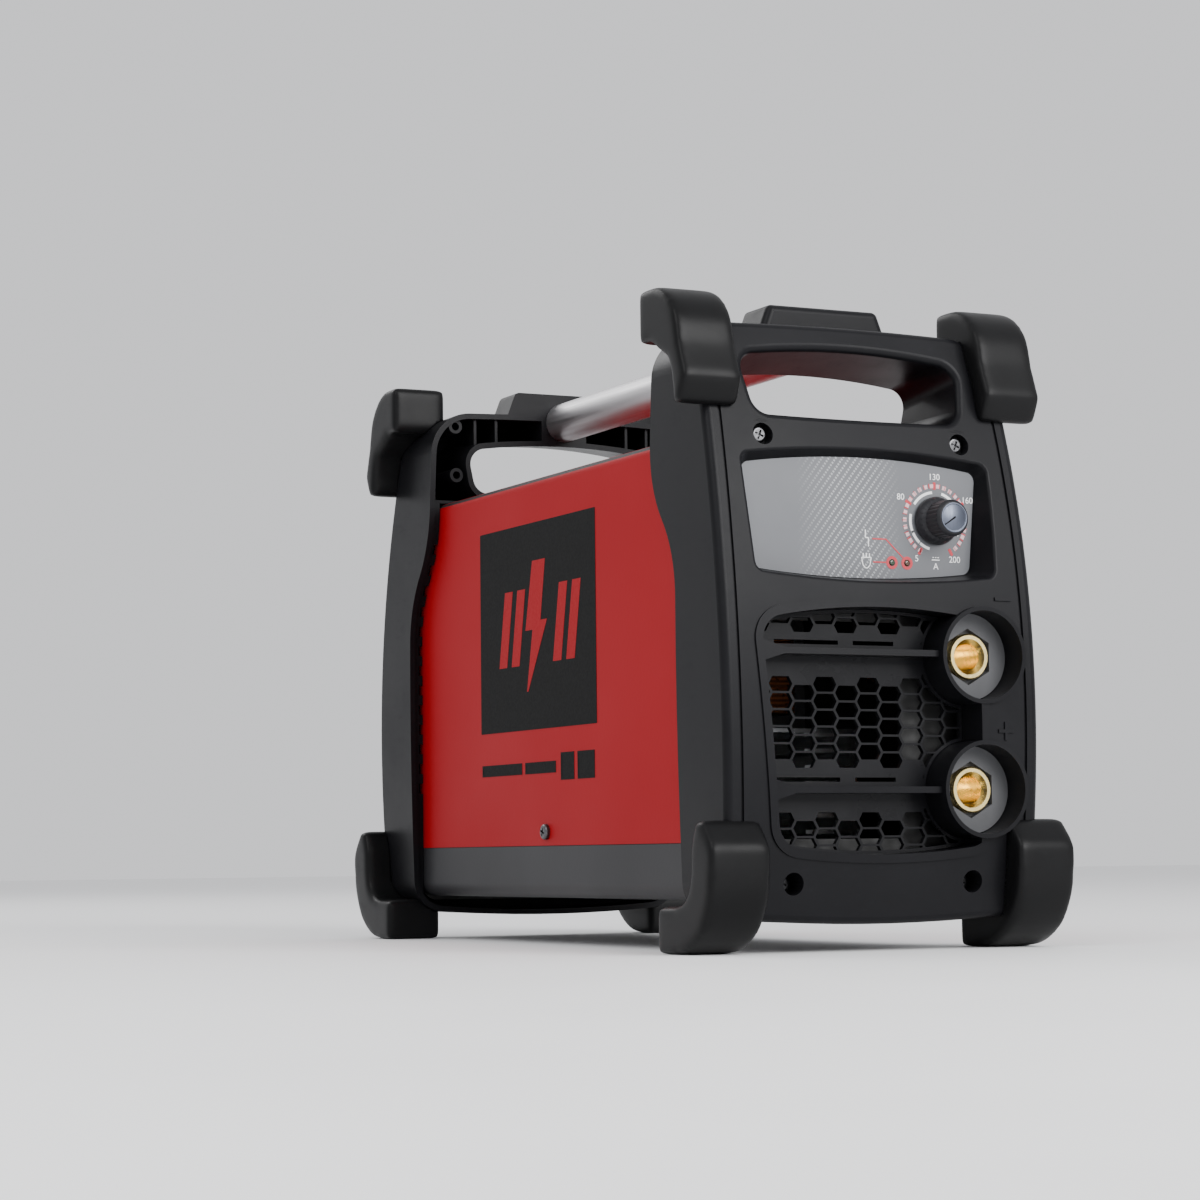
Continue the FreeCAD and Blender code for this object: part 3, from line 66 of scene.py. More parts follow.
# places that every piece is set out from
body_low, body_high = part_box("front_frame")
label_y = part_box("control_label")[0].y
rear_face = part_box("rear_plate")[1].y
knob_low, knob_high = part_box("control_knob")
cover_low, cover_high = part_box("cover")
knob_x = (knob_low.x + knob_high.x) / 2
knob_z = (knob_low.z + knob_high.z) / 2
ink = 0.15 * MM            # thickness of a printed mark
ink_sink = 0.05 * MM       # how far a printed mark is set into its surface


# ---------------------------------------------------------------- values a user may change
class WelderSizes(bpy.types.PropertyGroup):
    """Sizes of the moulded and printed pieces."""

    bumper_grain: bpy.props.FloatProperty(
        name="Bumper mesh size", description="Size of the faces that a bumper is rounded with",
        default=1.3 * MM, unit="LENGTH")
    bumper_soft: bpy.props.IntProperty(
        name="Bumper softness", description="How many times a bumper's corners are smoothed",
        default=48)
    dial_radius: bpy.props.FloatProperty(
        name="Dial radius", description="Middle of the printed ring round the knob",
        default=16.8 * MM, unit="LENGTH")
    knob_flutes: bpy.props.IntProperty(
        name="Knob flutes", description="Shallow grooves round the grip of the knob", default=24)
    badge_height: bpy.props.FloatProperty(
        name="Badge height", description="Height of the black panel on each side of the cover",
        default=108 * MM, unit="LENGTH")
    badge_length: bpy.props.FloatProperty(
        name="Badge length", description="Length of the black panel on each side of the cover",
        default=144 * MM, unit="LENGTH")


def colour_value(name, description, default):
    """Colour that a user may change."""
    return bpy.props.FloatVectorProperty(
        name=name, description=description, default=default,
        subtype="COLOR", size=3, min=0, max=1)


class WelderColours(bpy.types.PropertyGroup):
    """Colours of the main finishes."""

    housing: colour_value("Housing", "Moulded end frames", (0.0055, 0.0055, 0.0065))
    bumper: colour_value("Bumpers", "Soft corner bumpers", (0.0040, 0.0040, 0.0043))
    cover: colour_value("Cover", "Painted cover", (0.300, 0.002, 0.0065))
    tray: colour_value("Base tray", "Painted base tray", (0.022, 0.022, 0.024))
    label: colour_value("Control label", "Front overlay", (0.100, 0.104, 0.114))
    mark_red: colour_value("Red print", "Red marks on the label", (0.480, 0.035, 0.050))


class WelderStage(bpy.types.PropertyGroup):
    """Camera and light."""

    lens: bpy.props.FloatProperty(
        name="Lens", description="Focal length in millimetres", default=90.12)
    key_power: bpy.props.FloatProperty(
        name="Key light", description="Power of the large light in front",
        default=62.0, subtype="POWER")
    fill_power: bpy.props.FloatProperty(
        name="Fill light", description="Power of the soft lights at the left and behind",
        default=16.0, subtype="POWER")


# ---------------------------------------------------------------- modelling helpers
def clear():
    """Leave edit mode with nothing selected."""
    if bpy.context.object and bpy.context.object.mode != "OBJECT":
        bpy.ops.object.mode_set(mode="OBJECT")
    bpy.ops.object.select_all(action="DESELECT")


def choose(*pieces):
    """Select only these objects and make the first one active."""
    clear()
    for piece in pieces:
        piece.select_set(True)
    bpy.context.view_layer.objects.active = pieces[0]


def new_piece(name):
    """Name the primitive just added and put its place, turn and scale into its mesh."""
    piece = bpy.context.object
    piece.name = name
    piece.data.name = name
    bpy.ops.object.transform_apply(location=True, rotation=True, scale=True)
    return piece


def block(name, low, high):
    """Box between two corners."""
    clear()
    low, high = Vector(low), Vector(high)
    bpy.ops.mesh.primitive_cube_add(size=1, location=(low + high) / 2, scale=high - low)
    return new_piece(name)


def drum(name, radius, x, z, y_front, y_back, sides=64):
    """Cylinder along Y."""
    clear()
    bpy.ops.mesh.primitive_cylinder_add(
        vertices=sides, radius=radius, depth=y_back - y_front,
        location=(x, (y_front + y_back) / 2, z), rotation=(math.pi / 2, 0, 0))
    return new_piece(name)


def pick(piece, kind, wanted):
    """Enter edit mode on a piece with only the faces, edges or vertices that are wanted."""
    choose(piece)
    bpy.ops.object.mode_set(mode="EDIT")
    bpy.ops.mesh.select_mode(type=kind)
    bpy.ops.mesh.select_all(action="DESELECT")
    shape = bmesh.from_edit_mesh(piece.data)
    items = {"FACE": shape.faces, "EDGE": shape.edges, "VERT": shape.verts}[kind]
    chosen = [item for item in items if wanted(item)]
    if not chosen:
        raise RuntimeError("nothing to select on " + piece.name)
    for item in chosen:
        item.select_set(True)
    shape.select_flush_mode()
    bmesh.update_edit_mesh(piece.data)


def extrude(y=0.0, z=0.0, x=0.0):
    """Draw the selected faces out and keep the new ones selected."""
    bpy.ops.mesh.extrude_region_move(TRANSFORM_OT_translate={"value": (x, y, z)})


def drag(piece, y, z, to_y):
    """Move the vertices at one place of the side view forwards or backwards."""
    near = 0.1 * MM
    pick(piece, "VERT", lambda v: abs(v.co.y - y) < near and abs(v.co.z - z) < near)
    bpy.ops.transform.translate(value=(0, to_y - y, 0))


def tidy_mesh(piece, merge=0.01 * MM):
    """Merge doubles and turn every face outwards."""
    choose(piece)
    bpy.ops.object.mode_set(mode="EDIT")
    bpy.ops.mesh.select_all(action="SELECT")
    bpy.ops.mesh.remove_doubles(threshold=merge)
    bpy.ops.mesh.normals_make_consistent(inside=False)
    clear()


def soften(piece, width, segments=3, angle=35.0):
    """Bevel the sharp edges of a piece and shade it smooth."""
    choose(piece)
    bevel = piece.modifiers.new("edge", "BEVEL")
    bevel.width = width
    bevel.segments = segments
    bevel.limit_method = "ANGLE"
    bevel.angle_limit = math.radians(angle)
    bevel.use_clamp_overlap = True
    bpy.ops.object.modifier_apply(modifier="edge")
    bpy.ops.object.shade_smooth_by_angle(angle=math.radians(40))
    clear()


def mirrored(piece, name, axis):
    """Copy of a piece with its own mesh, mirrored across the middle of the machine."""
    choose(piece)
    bpy.ops.object.duplicate()
    copy = bpy.context.object
    copy.name = name
    copy.data.name = name
    scale = [1, 1, 1]
    scale[axis] = -1
    copy.scale = scale
    bpy.ops.object.transform_apply(location=False, rotation=False, scale=True)
    tidy_mesh(copy, 0.001 * MM)
    return copy


def joined(name, pieces):
    """One object from several that share a finish."""
    choose(*pieces)
    if len(pieces) > 1:
        bpy.ops.object.join()
    piece = bpy.context.object
    piece.name = name
    piece.data.name = name
    clear()
    return piece


def cut_away(piece, cutter):
    """Take the cutter's volume out of a piece."""
    choose(piece)
    change = piece.modifiers.new("cut", "BOOLEAN")
    change.operation = "DIFFERENCE"
    change.solver = "EXACT"
    change.object = cutter
    bpy.ops.object.modifier_apply(modifier="cut")
    clear()


def finished(piece, body, finish, slot_name, *stands_for):
    """Give a piece its finish and its body, and hide the frame nodes it stands for; the slot name is
    not used.
    """
    piece.data.materials.clear()
    piece.data.materials.append(finishes[finish])
    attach(piece, body)
    if stands_for:
        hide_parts(*stands_for)


# ---------------------------------------------------------------- finishes
finishes = {}                                # every finish made, by its name
MIX_FIRST, MIX_SECOND, MIX_RESULT = 6, 7, 2  # colour sockets of the Mix node


class Finish:
    """A procedural material whose patterns sit on the object's own coordinates."""

    def __init__(self, name, colour, roughness, metallic=0.0):
        self.material = bpy.data.materials.new(name)
        self.material.use_nodes = True
        self.tree = self.material.node_tree
        self.shader = self.tree.nodes["Principled BSDF"]
        self.shader.inputs["Base Color"].default_value = (*colour, 1)
        self.shader.inputs["Roughness"].default_value = roughness
        self.shader.inputs["Metallic"].default_value = metallic
        self.colour = colour
        self.coords = self.tree.nodes.new("ShaderNodeTexCoord").outputs["Object"]
        self.bump = None
        finishes[name] = self.material

    def link(self, source, target):
        self.tree.links.new(source, target)

    def add(self, kind, **values):
        """New node with these values on its sockets."""
        node = self.tree.nodes.new("ShaderNode" + kind)
        for name, value in values.items():
            node.inputs[name.replace("_", " ")].default_value = value
        return node

    def mapped(self, location=(0, 0, 0), rotation=(0, 0, 0), scale=(1, 1, 1)):
        """Object coordinates, moved, then turned and scaled."""
        shift = self.add("VectorMath")
        shift.operation = "SUBTRACT"
        shift.inputs[1].default_value = location
        self.link(self.coords, shift.inputs[0])
        mapping = self.add("Mapping", Rotation=rotation, Scale=scale)
        self.link(shift.outputs[0], mapping.inputs["Vector"])
        return mapping.outputs["Vector"]

    def noise(self, scale, detail=3.0, roughness=0.55, coords=None):
        node = self.add("TexNoise", Scale=scale, Detail=detail, Roughness=roughness)
        self.link(coords or self.coords, node.inputs["Vector"])
        return node.outputs["Fac"]

    def wave(self, scale, coords, direction="X", profile="SIN", distortion=0.0):
        """Straight bands."""
        node = self.add("TexWave", Scale=scale, Distortion=distortion)
        node.bands_direction = direction
        node.wave_profile = profile
        self.link(coords, node.inputs["Vector"])
        return node.outputs["Fac"]

    def rings(self, scale, coords):
        """Uneven rings round the Y axis."""
        node = self.add("TexWave", Scale=scale, Distortion=0.6, Detail=2.0)
        node.wave_type = "RINGS"
        node.rings_direction = "Y"
        self.link(coords, node.inputs["Vector"])
        return node.outputs["Fac"]

    def ranged(self, value, low, high, to_low, to_high):
        """Carry one range of values over to another."""
        node = self.add("MapRange", From_Min=low, From_Max=high, To_Min=to_low, To_Max=to_high)
        self.link(value, node.inputs["Value"])
        return node.outputs["Result"]

    def combine(self, first, second, operation="MULTIPLY"):
        node = self.add("Math")
        node.operation = operation
        self.link(first, node.inputs[0])
        self.link(second, node.inputs[1])
        return node.outputs[0]

    def axis(self, coords, name):
        node = self.add("SeparateXYZ")
        self.link(coords, node.inputs[0])
        return node.outputs[name]

    def tint(self, factor, other):
        """Blend the colour so far towards another one."""
        node = self.add("Mix")
        node.data_type = "RGBA"
        base = self.shader.inputs["Base Color"]
        if base.is_linked:
            self.link(base.links[0].from_socket, node.inputs[MIX_FIRST])
        else:
            node.inputs[MIX_FIRST].default_value = (*self.colour, 1)
        node.inputs[MIX_SECOND].default_value = (*other, 1)
        self.link(factor, node.inputs["Factor"])
        self.link(node.outputs[MIX_RESULT], base)

    def gloss(self, factor):
        self.link(factor, self.shader.inputs["Roughness"])

    def relief(self, height, distance, strength=1.0):
        """Add a layer of fine relief."""
        node = self.add("Bump", Distance=distance, Strength=strength)
        self.link(height, node.inputs["Height"])
        if self.bump:
            self.link(self.bump, node.inputs["Normal"])
        self.bump = node.outputs["Normal"]
        self.link(self.bump, self.shader.inputs["Normal"])

    def set(self, name, value):
        """One value all over the surface."""
        self.shader.inputs[name].default_value = value


def scaled(colour, factor):
    """The same colour, lighter or darker."""
    return tuple(min(1.0, channel * factor) for channel in colour)


def moulded_plastic(name, colour, roughness, grain, shine=0.16):
    """Spark eroded moulding texture with faint scuffs."""
    finish = Finish(name, colour, roughness)
    fine = finish.noise(1700, 4.0, 0.6)
    broad = finish.noise(22, 4.0, 0.6)
    scuff = finish.noise(140, 5.0, 0.7, finish.mapped(scale=(1.0, 0.5, 2.2)))
    finish.tint(finish.ranged(broad, 0.35, 0.75, 0.0, 0.45), scaled(colour, 1.7))
    finish.tint(finish.ranged(scuff, 0.62, 0.78, 0.0, 0.25), scaled(colour, 3.0))
    finish.gloss(finish.combine(finish.ranged(broad, 0.3, 0.7, roughness - 0.05, roughness + 0.06),
                                finish.ranged(scuff, 0.55, 0.8, 0.0, 0.08), "ADD"))
    finish.relief(fine, grain)
    finish.set("Specular IOR Level", shine)


def painted_steel(name, colour, roughness, shine):
    """Baked paint with a slight orange peel."""
    finish = Finish(name, colour, roughness)
    peel = finish.noise(420, 2.0, 0.4)
    broad = finish.noise(9, 3.0, 0.5)
    speck = finish.noise(1300, 3.0, 0.6)
    finish.tint(finish.ranged(broad, 0.3, 0.75, 0.0, 0.35), scaled(colour, 0.82))
    finish.tint(finish.ranged(speck, 0.68, 0.80, 0.0, 0.20), scaled(colour, 1.5))
    finish.gloss(finish.ranged(broad, 0.3, 0.7, roughness - 0.04, roughness + 0.05))
    finish.relief(peel, 0.05 * MM, 0.6)
    finish.set("Specular IOR Level", shine)
    return finish


def cover_paint(name, colour):
    """Paint on the outside of the cover, with its faces inside the box tinted near black."""
    finish = painted_steel(name, colour, 0.5, 0.10)
    spread = finish.add("VectorMath")
    spread.operation = "ABSOLUTE"
    finish.link(finish.coords, spread.inputs[0])
    deep, edge = 0.6 * MM, 0.1 * MM
    inside = []
    for name, face in (("X", cover_high.x), ("Z", cover_high.z)):
        place = finish.axis(spread.outputs[0], name)
        inside.append(finish.ranged(place, face - deep, face - deep - edge, 0.0, 1.0))
    # the faces inside the cover are tinted near black
    inner_dark = (0.020, 0.019, 0.020)
    finish.tint(finish.combine(*inside), inner_dark)


def brushed_metal(name, colour, roughness, stretch):
    """Metal with drawn lines along its long way."""
    finish = Finish(name, colour, roughness, 1.0)
    lines = finish.noise(1.0, 3.0, 0.6, finish.mapped(scale=stretch))
    broad = finish.noise(14, 3.0, 0.5)
    finish.tint(finish.ranged(lines, 0.35, 0.7, 0.0, 0.5), scaled(colour, 0.8))
    finish.gloss(finish.combine(finish.ranged(lines, 0.3, 0.7, roughness - 0.06, roughness + 0.07),
                                finish.ranged(broad, 0.4, 0.7, 0.0, 0.06), "ADD"))
    finish.relief(lines, 0.02 * MM, 0.6)


def turned_metal(name, colour, roughness, x, z):
    """Lathe turned metal with fine rings round an axis along Y."""
    finish = Finish(name, colour, roughness, 1.0)
    place = finish.mapped(location=(x, 0, z))
    rings = finish.rings(350, place)
    stain = finish.noise(160, 4.0, 0.6)
    finish.tint(finish.ranged(stain, 0.45, 0.75, 0.0, 0.5), scaled(colour, 0.72))
    finish.gloss(finish.ranged(stain, 0.3, 0.7, roughness - 0.05, roughness + 0.09))
    finish.relief(rings, 0.01 * MM, 0.3)


def label_film(name, colour):
    """Satin overlay with a fading diagonal weave of bright dashes in its middle."""
    finish = Finish(name, colour, 0.38)
    turned = finish.mapped(location=(-4 * MM, 0, 202 * MM), rotation=(0, math.radians(52), 0))
    rows = finish.wave(110, turned, "Z")
    dashes = finish.wave(210, turned, "X")
    weave = finish.combine(finish.ranged(rows, 0.55, 0.9, 0.0, 1.0),
                           finish.ranged(dashes, 0.25, 0.6, 0.0, 1.0))
    x = finish.axis(finish.coords, "X")
    left = finish.ranged(x, -34 * MM, -14 * MM, 0.0, 1.0)
    right = finish.ranged(x, 22 * MM, 6 * MM, 0.0, 1.0)
    fade = finish.combine(left, right)
    cloud = finish.noise(60, 3.0, 0.5)
    finish.tint(finish.ranged(cloud, 0.3, 0.7, 0.0, 0.3), scaled(colour, 0.88))
    finish.tint(finish.ranged(finish.combine(weave, fade), 0.0, 1.0, 0.0, 0.42), (0.62, 0.63, 0.65))
    finish.gloss(finish.ranged(cloud, 0.3, 0.7, 0.34, 0.42))
    finish.relief(finish.noise(2600, 2.0, 0.5), 0.006 * MM, 0.6)


def printed_ink(name, colour, roughness=0.42, shine=0.3):
    """Screen print with a faint unevenness."""
    finish = Finish(name, colour, roughness)
    patch = finish.noise(700, 3.0, 0.6)
    finish.tint(finish.ranged(patch, 0.35, 0.7, 0.0, 0.4), scaled(colour, 0.85))
    finish.gloss(finish.ranged(patch, 0.3, 0.7, roughness - 0.05, roughness + 0.05))
    finish.relief(patch, 0.01 * MM, 0.5)
    finish.set("Specular IOR Level", shine)


def lens_plastic(name, colour):
    """Clear tinted lens of an indicator."""
    finish = Finish(name, colour, 0.12)
    depth = finish.noise(900, 2.0, 0.5)
    finish.tint(finish.ranged(depth, 0.3, 0.7, 0.0, 0.5), scaled(colour, 0.5))
    finish.relief(depth, 0.01 * MM, 0.4)
    finish.set("Coat Weight", 0.8)
    finish.set("Coat Roughness", 0.05)


def circuit_board(name):
    """Solder masked board with tracks and pads."""
    finish = Finish(name, (0.010, 0.060, 0.022), 0.35)
    tracks = finish.wave(60, finish.mapped(rotation=(0, 0, math.radians(45))), "X", "SAW", 1.5)
    pads = finish.noise(320, 1.0, 0.3)
    finish.tint(finish.ranged(tracks, 0.80, 0.84, 0.0, 0.6), (0.030, 0.160, 0.060))
    finish.tint(finish.ranged(pads, 0.70, 0.72, 0.0, 1.0), (0.60, 0.58, 0.52))
    finish.relief(tracks, 0.04 * MM, 0.5)


def wound_wire(name, colour):
    """Enamelled wire laid turn by turn."""
    finish = Finish(name, colour, 0.3, 0.7)
    turns = finish.wave(130, finish.coords, "Z", "SIN", 0.3)
    finish.tint(turns, scaled(colour, 0.4))
    finish.relief(turns, 0.5 * MM, 0.9)
    finish.gloss(finish.ranged(finish.noise(300), 0.3, 0.7, 0.24, 0.4))


def sintered_core(name, colour):
    """Dull pressed powder."""
    finish = Finish(name, colour, 0.6)
    grain = finish.noise(900, 5.0, 0.7)
    finish.tint(finish.ranged(grain, 0.4, 0.7, 0.0, 0.6), scaled(colour, 2.2))
    finish.gloss(finish.ranged(grain, 0.3, 0.7, 0.5, 0.7))
    finish.relief(grain, 0.05 * MM)


def galvanised(name, colour, roughness):
    """Zinc plated sheet with a soft spangle."""
    finish = Finish(name, colour, roughness, 1.0)
    cells = finish.add("TexVoronoi", Scale=170)
    finish.link(finish.coords, cells.inputs["Vector"])
    spangle = cells.outputs["Distance"]
    finish.tint(finish.ranged(spangle, 0.1, 0.7, 0.0, 0.5), scaled(colour, 0.7))
    finish.gloss(finish.ranged(spangle, 0.0, 0.8, roughness - 0.08, roughness + 0.1))
    finish.relief(finish.noise(800), 0.01 * MM, 0.5)


class WELDER_OT_finishes(bpy.types.Operator):
    """Make every finish and put it on the frame nodes that keep their own shape"""

    bl_idname = "welder.finishes"
    bl_label = "Finishes"

    # nodes whose finish isn't the one named by their slot
    special = {"socket_negative": "brass_negative", "socket_positive": "brass_positive",
               "front_screws": "screw_dark", "rear_screws": "screw_dark",
               "side_screws": "screw_dark",
               "front_grille": "mesh_black", "rear_grille": "mesh_black",
               "transformer_winding": "winding_copper", "choke_winding": "winding_copper",
               "inner_front_panel": "panel_dark", "inner_rear_panel": "panel_dark"}

    def execute(self, context):
        colours = context.scene.welder_colours
        housing = tuple(colours.housing)
        moulded_plastic("moulded_black", housing, 0.36, 0.03 * MM, 0.11)
        moulded_plastic("mesh_black", scaled(housing, 1.1), 0.30, 0.02 * MM, 0.16)
        moulded_plastic("soft_black", tuple(colours.bumper), 0.38, 0.015 * MM, 0.13)
        cover_paint("red_paint", tuple(colours.cover))
        painted_steel("grey_paint", tuple(colours.tray), 0.48, 0.25)
        brushed_metal("tube_aluminium", (0.60, 0.59, 0.60), 0.40, (900, 12, 900))
        galvanised("zinc_steel", (0.52, 0.53, 0.55), 0.34)
        brushed_metal("screw_dark", (0.11, 0.11, 0.115), 0.30, (600, 600, 600))
        galvanised("panel_dark", (0.06, 0.06, 0.06), 0.55)
        label_film("label_grey", tuple(colours.label))
        moulded_plastic("knob_black", (0.016, 0.016, 0.018), 0.30, 0.015 * MM)
        brushed_metal("knob_grey", (0.105, 0.117, 0.15), 0.36, (700, 700, 60))
        moulded_plastic("socket_grey", (0.075, 0.076, 0.080), 0.45, 0.03 * MM)
        brushed_metal("steel_shaft", (0.60, 0.60, 0.62), 0.28, (60, 900, 60))
        lens_plastic("led_green", (0.015, 0.040, 0.015))
        lens_plastic("led_amber", (0.060, 0.028, 0.010))
        brushed_metal("brass", (0.80, 0.60, 0.26), 0.28, (90, 600, 600))
        brushed_metal("copper", (0.78, 0.36, 0.20), 0.32, (80, 700, 700))
        wound_wire("winding_copper", (0.52, 0.17, 0.06))
        sintered_core("ferrite", (0.030, 0.030, 0.032))
        brushed_metal("sink_aluminium", (0.70, 0.71, 0.72), 0.36, (500, 10, 500))
        circuit_board("board_green")
        moulded_plastic("part_black", (0.014, 0.014, 0.015), 0.42, 0.03 * MM)
        printed_ink("ink_red", tuple(colours.mark_red))
        printed_ink("ink_pink", (0.62, 0.42, 0.44))
        printed_ink("ink_white", (0.84, 0.84, 0.84))
        printed_ink("ink_black", (0.005, 0.005, 0.005), 0.6, 0.08)
        printed_ink("badge_red", tuple(colours.cover), 0.5, 0.10)
        x = sum(corner.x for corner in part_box("socket_negative")) / 2
        for name in ("negative", "positive"):
            z = sum(corner.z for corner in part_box("socket_" + name)) / 2
            turned_metal("brass_" + name, (0.93, 0.74, 0.34), 0.22, x, z)
        for name, node in nodes.items():
            finish = finishes[self.special.get(name, slots[name])]
            for place in range(len(node.data.materials)):
                node.data.materials[place] = finish
        return {"FINISHED"}


# ---------------------------------------------------------------- bumpers
class WELDER_OT_bumpers(bpy.types.Operator):
    """Model the soft bumpers on the eight corners of the end frames"""

    bl_idname = "welder.bumpers"
    bl_label = "Bumpers"

    bend_steps = 8
    arch_drop = 12.4 * MM       # the frame's arches stand this far below its bumpers
    face_set_back = 1.6 * MM    # raised signs on the frame's face are left out of the cutter

    def frame_cutter(self):
        """Solid outer shape of the front end frame."""
        choose(nodes["front_frame"])
        bpy.ops.object.duplicate()
        cutter = bpy.context.object
        cutter.name = "frame_cutter"
        arch_top = body_high.z - self.arch_drop
        face = body_low.y + self.face_set_back
        pick(cutter, "VERT", lambda v: v.co.z > arch_top or v.co.y < face)
        bpy.ops.mesh.delete(type="VERT")
        bpy.ops.mesh.select_all(action="SELECT")
        bpy.ops.mesh.convex_hull()
        clear()
        return cutter

    def bend(self, piece, wanted, centre, angle):
        """Turn the chosen end of a bumper round a centre given as (y, z)."""
        pick(piece, "FACE", wanted)
        bpy.ops.mesh.spin(steps=self.bend_steps, angle=angle, center=(0, *centre), axis=(1, 0, 0))

    def round_off(self, piece, sizes):
        """Round every corner of a bumper as soft moulded rubber is."""
        tidy_mesh(piece)
        choose(piece)
        remesh = piece.modifiers.new("even", "REMESH")
        remesh.mode = "VOXEL"
        remesh.voxel_size = sizes.bumper_grain
        bpy.ops.object.modifier_apply(modifier="even")
        smooth = piece.modifiers.new("soft", "SMOOTH")
        smooth.factor = 0.5
        smooth.iterations = sizes.bumper_soft
        bpy.ops.object.modifier_apply(modifier="soft")
        clear()

    def upper(self, sizes):
        """Flat arm on the arch, a bend, and a leg that narrows down the frame's front."""
        low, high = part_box("front_bumper_upper_right")
        arm = block("bumper", (low.x, high.y - 12 * MM, high.z - 26 * MM), high)
        centre = (high.y - 12 * MM, high.z - 28 * MM)
        self.bend(arm, lambda f: f.normal.y < -0.9, centre, -math.pi / 2)
        tidy_mesh(arm)
        base = min(v.co.z for v in arm.data.vertices)
        front = min(v.co.y for v in arm.data.vertices)
        if abs(base - centre[1]) > MM:
            raise RuntimeError("the bumper's bend went the wrong way")
        back = centre[0] - 2 * MM
        edge_z = low.z + 12.5 * MM
        knee_z = low.z + 22.5 * MM
        leg_y = low.y + 17.5 * MM
        pick(arm, "FACE", lambda f: f.normal.z < -0.9 and f.calc_center_median().z < base + 0.1 * MM)
        for start, end in ((base, knee_z), (knee_z, edge_z), (edge_z, low.z)):
            extrude(z=end - start)
        clear()
        # height of each step, and where its front and its back go
        steps = ((knee_z, low.y + 4 * MM, leg_y),
                 (edge_z, low.y, leg_y - 3.5 * MM),
                 (low.z, low.y + 6 * MM, leg_y - 4.5 * MM))
        for z, to_front, to_back in steps:
            drag(arm, front, z, to_front)
            drag(arm, back, z, to_back)
        self.round_off(arm, sizes)
        return arm

    def lower(self, sizes):
        """Foot under the frame, a bend, and a short shin up its front."""
        low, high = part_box("front_bumper_lower_right")
        bend_y = low.y + 37 * MM
        foot = block("bumper", (low.x, bend_y, low.z), (high.x, high.y, low.z + 22 * MM))
        centre = (bend_y, low.z + 37 * MM)
        self.bend(foot, lambda f: f.normal.y < -0.9, centre, math.pi / 2)
        tidy_mesh(foot)
        top = max(v.co.z for v in foot.data.vertices)
        if abs(top - centre[1]) > MM:
            raise RuntimeError("the foot's bend went the wrong way")
        edge_z = high.z - 12 * MM
        back = bend_y - 15 * MM
        pick(foot, "FACE", lambda f: f.normal.z > 0.9 and f.calc_center_median().z > top - 0.1 * MM)
        extrude(z=edge_z - top)
        extrude(z=high.z - edge_z)
        clear()
        drag(foot, back, edge_z, low.y + 21.5 * MM)
        drag(foot, low.y, high.z, low.y + 10 * MM)
        drag(foot, back, high.z, low.y + 16.5 * MM)
        self.round_off(foot, sizes)
        return foot

    def execute(self, context):
        sizes = context.scene.welder_sizes
        cutter = self.frame_cutter()
        for height, make in (("upper", self.upper), ("lower", self.lower)):
            first = make(sizes)
            cut_away(first, cutter)
            tidy_mesh(first, 0.02 * MM)
            first.name = "soft_bumper_front_" + height + "_right"
            across = mirrored(first, "soft_bumper_front_" + height + "_left", 0)
            behind = mirrored(first, "soft_bumper_rear_" + height + "_right", 1)
            opposite = mirrored(across, "soft_bumper_rear_" + height + "_left", 1)
            for piece in (first, across, behind, opposite):
                choose(piece)
                bpy.ops.object.shade_smooth_by_angle(angle=math.radians(32))
                node = piece.name.replace("soft_bumper_", "").replace(height, "bumper_" + height)
                finished(piece, HOUSING, "soft_black", "soft_black", node)
        bpy.data.objects.remove(cutter, do_unlink=True)
        return {"FINISHED"}


# ---------------------------------------------------------------- control knob
def narrow(ratio):
    """Scale what is selected towards the knob's axis."""
    bpy.ops.transform.resize(value=(ratio, 1, ratio), center_override=(knob_x, 0, knob_z))


